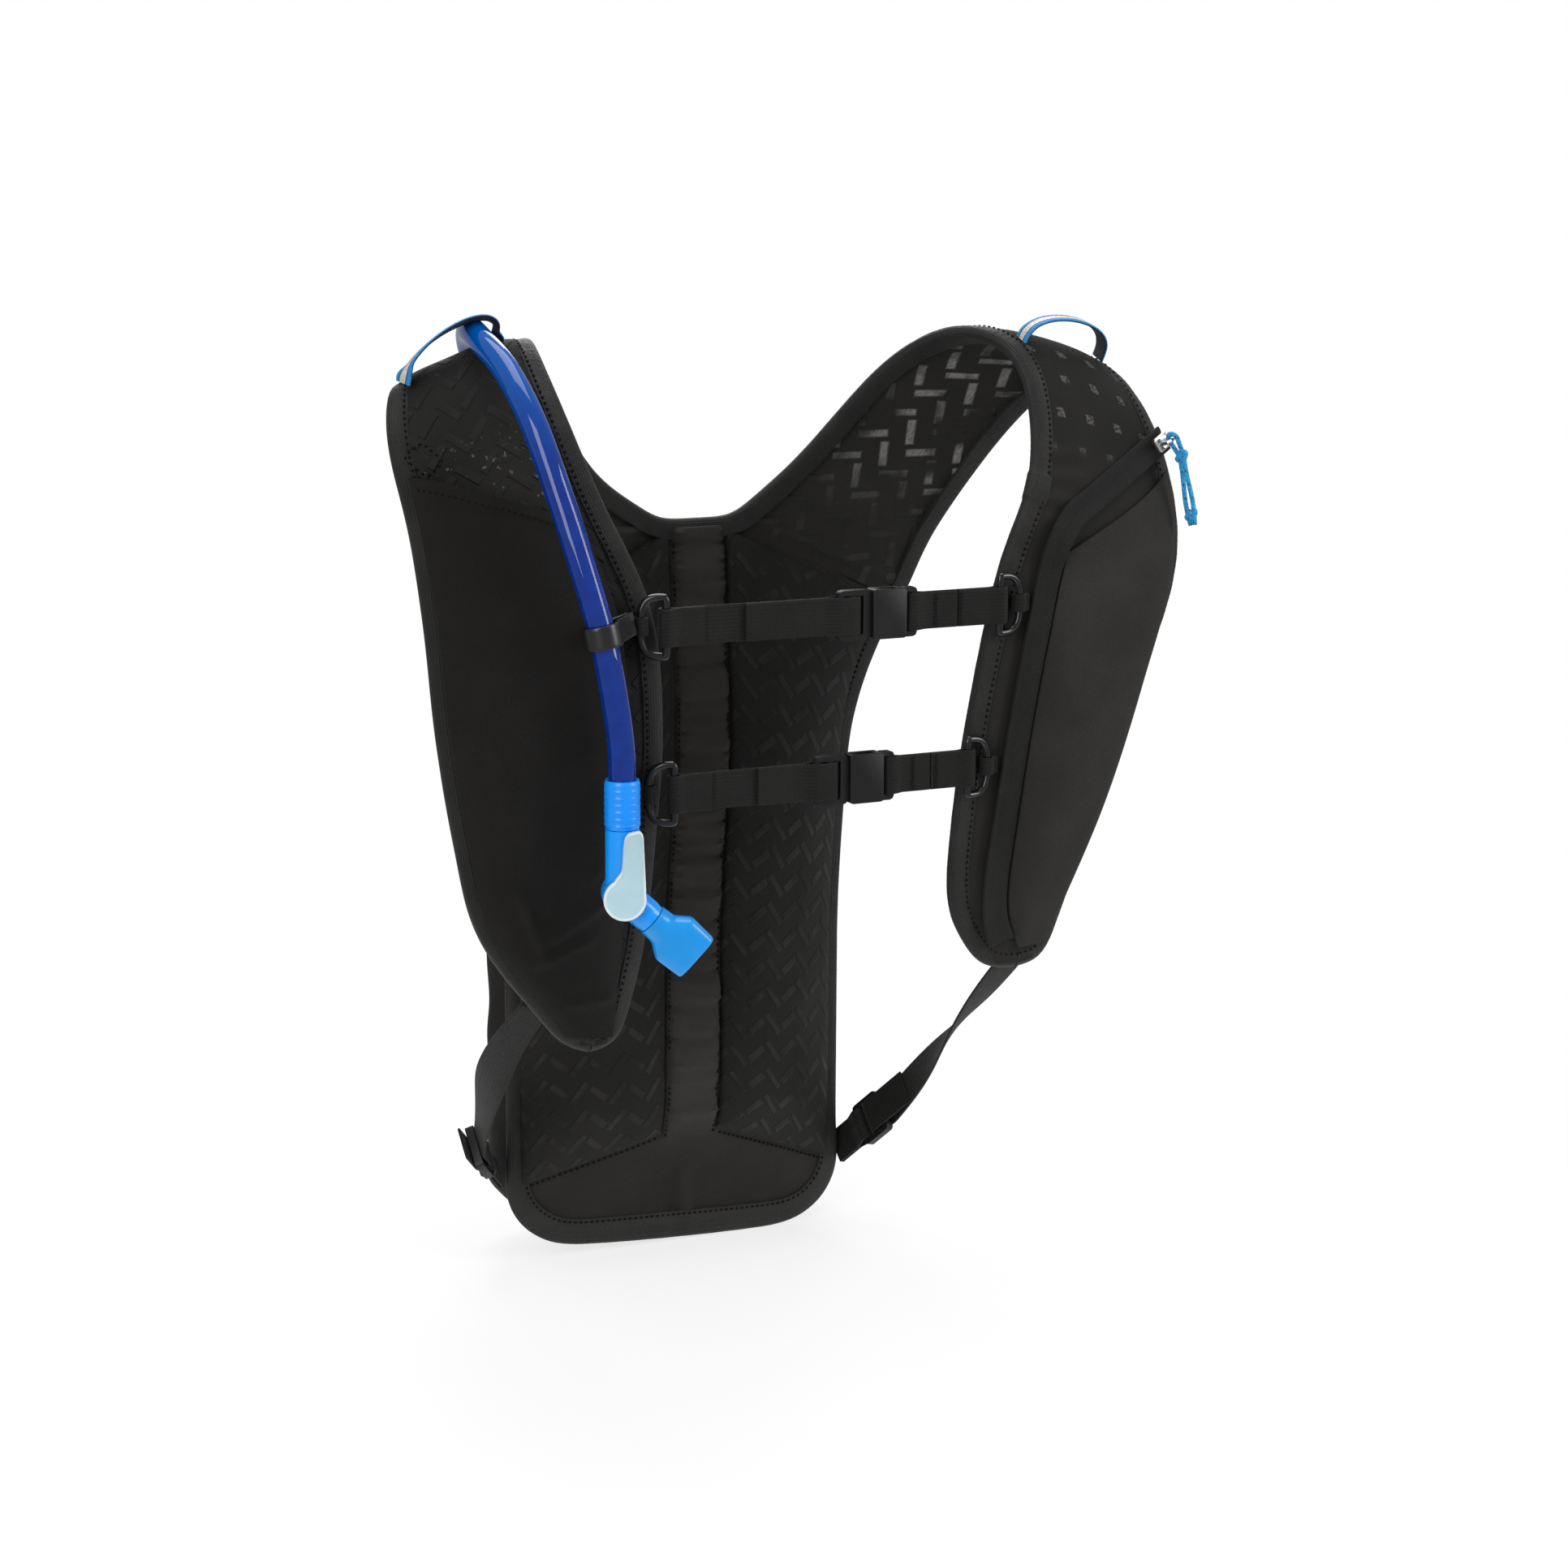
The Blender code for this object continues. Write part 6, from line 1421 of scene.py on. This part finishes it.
def makeHoseLoop(side):
    # Arch of striped tape from the arm side to the neck side, its height a power of a sine; it lies
    # flat on the strap at its two feet and turns towards level between them
    p = hoseLoop[side]
    arm, neck = (onStrap(side, *p[k], hoseLoop["seat"]) for k in ("arm", "neck"))
    along = strapFrame(side, np.array(p["arm"][0]), np.array(0.5))[1]
    a = np.linspace(0, np.pi, 91)[:, None]
    share = ((1 - np.cos(a)) / 2) ** p["lean"]
    path = arm + (neck - arm) * share + vec(*p["up"]) * p["rise"] * np.sin(a).clip(0) ** 0.8
    first, last = (unit(vec(*v)) for v in p["turn"])
    level = first + (last - first) * share
    flat = along * np.sign(along @ first)
    turn = flat + (level - flat) * ease(np.sin(a) * 2.2)
    path, turn = resample(path, 110, turn)
    shell = Shell().ribbon(path, -turn * sides[side], hoseLoop["width"], hoseLoop["thick"], (0, 1))
    shell.build(f"hose_loop_{side}", ["loop", "loopBack"], stands=[f"tube_loop_{side}"],
                slot="loop_webbing", sharp=80)


for side in sides:
    makeHoseLoop(side)

clip = {"height": -92, "below": -101, "radius": 6.8, "width": 9, "thick": 1.6, "gap": 0.95, "short": 5.3}


def makeClip():
    # Rubber band round the hose, its two ends held at the upper ring
    chest = hosePath[hosePath[:, 1] < 0]
    near, below = (np.array([np.interp(-z, -chest[:, 2], chest[:, k]) for k in range(3)])
                   for z in (clip["height"], clip["below"]))
    axis = unit(near - below)
    reach = vec(*sternum["upper"]["rightSeat"]) - near
    ahead = unit(reach - axis * (reach @ axis))
    length = reach @ ahead - clip["short"]
    band = np.vstack(((length, -clip["gap"]), turnArc((0, 0), clip["radius"], -35, -325, 60),
                      (length, clip["gap"])))
    path = laid(band, near, ahead, np.cross(axis, ahead))
    path = resample(path, 90)[0]
    shell = Shell().ribbon(path, axis, clip["width"], clip["thick"])
    shell.build("hose_clip", ["rubber"], stands=["tube_clip"], slot="black_plastic", sharp=80)


makeClip()
print("tabs, side straps and loops made")

# Zip pull

pull = {"hinge": (167.03, -44.5, -29.98), "wire": (-0.83971, -0.31786, -0.44028), "fall": (0.1, -0.2, -1),
        "ring": 2.4, "knot": 8.4, "run": 24.6, "cord": 2.0, "apart": 1.25, "knotSize": 1.15}


def makePull():
    # Doubled cord through the slider's eye, tied above and below: a knot is a closed three-lobed curve
    hinge = vec(*pull["hinge"])
    wire, down = (unit(vec(*pull[k])) for k in ("wire", "fall"))
    fall = unit(down - wire * (down @ wire))
    across = np.cross(wire, fall)
    a = np.radians(np.linspace(-15, 195, 40))[:, None]
    bow = hinge + pull["ring"] * (across * np.cos(a) - fall * np.sin(a))
    first = hinge + fall * pull["knot"]
    last = first + down * pull["run"]
    shell = Shell()
    section = roundSection(pull["cord"] / 2, 12)
    for sign, end in ((1, bow[0]), (-1, bow[-1])):
        f = np.linspace(0, 1, 50)[:, None]
        bulge = across * sign * pull["apart"] * (0.9 + 0.5 * np.sin(f * np.pi))
        bulge = bulge + wire * 0.5 * np.sin(f * tau) * sign
        strand = first + (last + down * 4.5 - first) * f + bulge
        lead = end + (strand[0] - end) * np.linspace(0, 1, 10)[:-1, None]
        path = resample(np.vstack((lead, strand)), 70)[0]
        shell.tube(path, freeAcross(path, wire), section)
    shell.tube(bow, freeAcross(bow, wire), section)
    b = np.linspace(0, tau, 90)[:, None]
    for centre in (first, last):
        wide = 1 + 0.5 * np.cos(3 * b)
        knot = centre + pull["knotSize"] * (across * wide * np.cos(2 * b) * 1.3
                                            + down * wide * np.sin(2 * b) * 1.1
                                            + wire * np.sin(3 * b) * 1.1)
        shell.tube(knot, freeAcross(knot, wire), section)
    shell.build("pull_cord", ["cord"], body="pull", stands=["zip_pull"], slot="cord_blue", sharp=80)


makePull()

# Reservoir inside the sleeve

bladder = {"half": 62, "low": -356, "high": -122, "seat": 2.7, "wall": 3, "swell": 17,
           "wells": (((0, -172), 34.3, 73), ((-30, -332), 11.3, 71))}


def makeBladder():
    # Two films welded at the rim: swells by (1 - a2)(1 - b4), with wells round the cap and the port
    a, b = np.meshgrid(np.linspace(-1, 1, 91), np.linspace(-1, 1, 141))
    p = bladder
    z = (p["low"] + p["high"]) / 2 + (p["high"] - p["low"]) / 2 * b
    x = a * p["half"] * (0.5 + 0.5 * np.sqrt(np.clip(1 - b**4, 0, 1)))
    front = frontDepth(x, z) + p["seat"]
    filled = 1 + 0.05 * unevenness(81, x, z, 40)
    rear = front + p["wall"] * 0.35 + (p["wall"] * 0.65 * np.clip(1 - a**8, 0, 1) * np.clip(1 - b**8, 0, 1)
                                       + p["swell"] * (1 - a**2) * (1 - b**4)) * filled
    for (wellX, wellZ), radius, depth in p["wells"]:
        far = np.hypot(x + sway(z) - wellX, z - wellZ)
        rear = np.minimum(rear, depth + np.clip(far - radius, 0, None) * 1.2)
    rear = np.maximum(rear, front + 0.6)
    place = x + sway(z)
    shell = Shell().slab(np.stack((place, front, z), -1), np.stack((place, rear, z), -1))
    made = shell.build("water_bladder", ["film"], stands=["reservoir_bladder"], slot="clear_film")


def makeHanger():
    # Tape that hangs the bladder from the top of the panel
    z = np.linspace(-82, -121.7, 60)
    path = np.column_stack((0 * z, frontDepth(0 * z, z) + 3.3, z))
    webbing("hanger_tape", path, (1, 0, 0), stands=["hanger_tab"], width=20, thick=1.2)


makeBladder()
makeHanger()
print("reservoir made")


# Stitching

stitch = {"pitch": 2.6, "length": 1.5, "thick": 1.05, "patch": (4.31, 0.86),
          "patchSize": (4.6, 6.6), "patchTurn": 30}


def makeStitching():
    # Rows of thread along the tapes, the channel and the feet of the pads, round the tack patch on the right
    # strap and along the stretch pocket's mouth
    shell = Shell()
    row = (stitch["pitch"], stitch["length"], stitch["thick"])
    for seam, up in (neckSeam, outerSeam):
        shell.stitches(seam, up, *row)
    front = vec(0, -1, 0)
    z = np.linspace(pads["foot"] - 2, panel["neckHeight"] - 8, 160)
    for sign in sides.values():
        x = sign * (panel["channel"] / 2 - 1.5) + 0 * z
        line = np.column_stack((x + sway(z), frontDepth(x, z) - 1.5, tilted(x, z)))
        shell.stitches(line, front, *row)
        a = np.linspace(0.02, 0.94, 60)
        foot, low = padPlace(a, 0 * a)
        low = low - 1.6
        line = np.column_stack((sign * foot + sway(low), frontDepth(foot, low) - 0.4, tilted(sign * foot, low)))
        shell.stitches(line, front, *row)
    turn = np.radians(stitch["patchTurn"])
    x, y = barSection(2 * stitch["patchSize"][0], 2 * stitch["patchSize"][1], 5, 59).T
    t = stitch["patch"][0] + (y * np.cos(turn) + x * np.sin(turn)) / 45
    s = stitch["patch"][1] + (x * np.cos(turn) - y * np.sin(turn)) / 66
    shell.stitches(onStrap("right", t, s, 0.25), strapFrame("right", t, s)[3], *row)
    a = np.linspace(0.02, 0.98, 60)
    mouth = stretchPocket["top"] - stretchPocket["slant"] * a
    s = stretchPocket["inset"] + (stretchPocket["outer"] - stretchPocket["inset"]) * a
    lift = 0.7 + stretchPocket["room"] * (1 - (2 * a - 1) ** 4) + stretchPocket["sheet"] + 0.4
    shell.stitches(onStrap("right", mouth + 0.12, s, lift), strapFrame("right", mouth, s)[3], *row)
    shell.build("stitching", ["thread"], sharp=60)


def makeBarTacks():
    # Zigzag threads across the sewn ends of the sternum webbing
    shell = Shell()
    for place, rows in ((sternum["upper"], (46.5, 58.0)), (sternum["lower"], (37.5, 48.0))):
        for x in rows:
            k = np.arange(23)
            line = np.column_stack((x + 0.8 * (-1.0) ** k, 0 * k + place["plane"] - 1.42,
                                    place["height"] - 6.6 + 0.6 * k))
            shell.tube(line, (0, 1, 0), roundSection(0.3, 6))
    shell.build("bar_tacks", ["thread"], sharp=60)


makeStitching()
makeBarTacks()
print("stitching made")


def polished(name, node, finish, bevel, body="harness", angle=30, segments=2):
    # A copy of a moulded part's solid with its edges rounded
    mesh = nodes[node].data.copy()
    mesh.name = name
    bm = bmesh.new()
    bm.from_mesh(mesh)
    bmesh.ops.remove_doubles(bm, verts=bm.verts[:], dist=0.00001)
    bmesh.ops.dissolve_limit(bm, angle_limit=np.radians(2), verts=bm.verts[:], edges=bm.edges[:])
    bm.to_mesh(mesh)
    bm.free()
    mesh.materials.clear()
    mesh.materials.append(finishes[finish])
    mesh.shade_smooth()
    mesh.set_sharp_from_angle(angle=np.radians(angle + 20))
    item = bpy.data.objects.new(name, mesh)
    bpy.context.scene.collection.objects.link(item)
    edge = item.modifiers.new("edges", "BEVEL")
    edge.width = bevel * mm
    edge.segments = segments
    edge.limit_method = "ANGLE"
    edge.angle_limit = np.radians(angle)
    edge.harden_normals = False
    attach(item, body)
    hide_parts(node)
    return item


for strapName in sternum:
    polished(f"{strapName}_clasp", f"{strapName}_buckle_socket", "plastic", 0.45)
    polished(f"{strapName}_prong", f"{strapName}_buckle_plug", "plastic", 0.4, f"{strapName}_plug")
for side in sides:
    polished(f"strap_lock_{side}", f"ladder_lock_{side}", "plastic", 0.5)
polished("zip_runner", "zip_slider", "metal", 0.25, "slider")
for node, finish in (("fill_collar", "white"), ("cap_gasket", "gasket"), ("screw_cap", "valve"),
                     ("port_fitting", "white"), ("tube_connector", "white"), ("connector_button", "valve")):
    nodes[node].data.materials[0] = finishes[finish]
print("moulded parts made")

# Floor and light

stage = {"floor": -0.392, "size": 30}


def makeFloor():
    mesh = bpy.data.meshes.new("floor")
    half = stage["size"] / 2
    mesh.from_pydata([(-half, -half, stage["floor"]), (half, -half, stage["floor"]),
                      (half, half, stage["floor"]), (-half, half, stage["floor"])], [], [(0, 1, 2, 3)])
    floor = bpy.data.objects.new("floor", mesh)
    bpy.context.scene.collection.objects.link(floor)
    pale = bpy.data.materials.new("paleFloor")
    pale.use_nodes = True
    tree = pale.node_tree
    w = Wire(tree)
    grain = w.noise(3, 2).rise(0.2, 0.8).blend((0.93, 0.93, 0.93), (0.95, 0.95, 0.95))
    matt = w.node("ShaderNodeBsdfDiffuse", None, {"Color": grain})
    glow = w.node("ShaderNodeEmission", None, {"Color": (1, 1, 1, 1), "Strength": 1.0})
    path = [w.node("ShaderNodeLightPath", None, None, k) for k in (0, 3, 6)]
    seen = path[0].most(path[1]).most(path[2])
    lit = w.node("ShaderNodeMixShader", None, {0: seen * 0.72, 1: matt, 2: glow})
    away = w.node("ShaderNodeVectorMath", {"operation": "LENGTH"}, {0: w.place()}, 1)
    clear = w.node("ShaderNodeBsdfTransparent")
    mixed = w.node("ShaderNodeMixShader", None, {0: away.rise(0.42, 0.66), 1: lit, 2: clear})
    tree.links.new(mixed.socket, tree.nodes["Material Output"].inputs[0])
    mesh.materials.append(pale)


def makeLamp(name, place, aim, size, power):
    lamp = bpy.data.lights.new(name, "AREA")
    lamp.shape = "RECTANGLE"
    lamp.size, lamp.size_y = size
    lamp.energy = power
    item = bpy.data.objects.new(name, lamp)
    item.location = place
    item.rotation_euler = (Vector(aim) - Vector(place)).to_track_quat("-Z", "Y").to_euler()
    bpy.context.scene.collection.objects.link(item)


def makeSky():
    # White for what the camera and mirrors see, a plain grey level for the light
    world = bpy.data.worlds.new("studio")
    bpy.context.scene.world = world
    world.use_nodes = True
    w = Wire(world.node_tree)
    path = [w.node("ShaderNodeLightPath", None, None, k) for k in (0, 6)]
    seen = path[0].most(path[1])
    back = world.node_tree.nodes["Background"]
    w.feed(back.inputs["Color"], seen.blend((0.44, 0.44, 0.44), (1, 1, 1)))
    back.inputs["Strength"].default_value = 1


makeFloor()
makeSky()
middle = (0, 0, -0.17)
makeLamp("keyLamp", (-1.5, -1.25, 0.6), middle, (0.9, 1.9), 25)
makeLamp("fillLamp", (1.5, -1.2, 0.5), middle, (0.7, 1.2), 17)
makeLamp("topLamp", (0.1, 0.3, 1.6), middle, (1.2, 1.2), 15)
makeLamp("rearLamp", (0.6, 1.6, 0.8), middle, (1.0, 1.0), 13)
print("stage set")
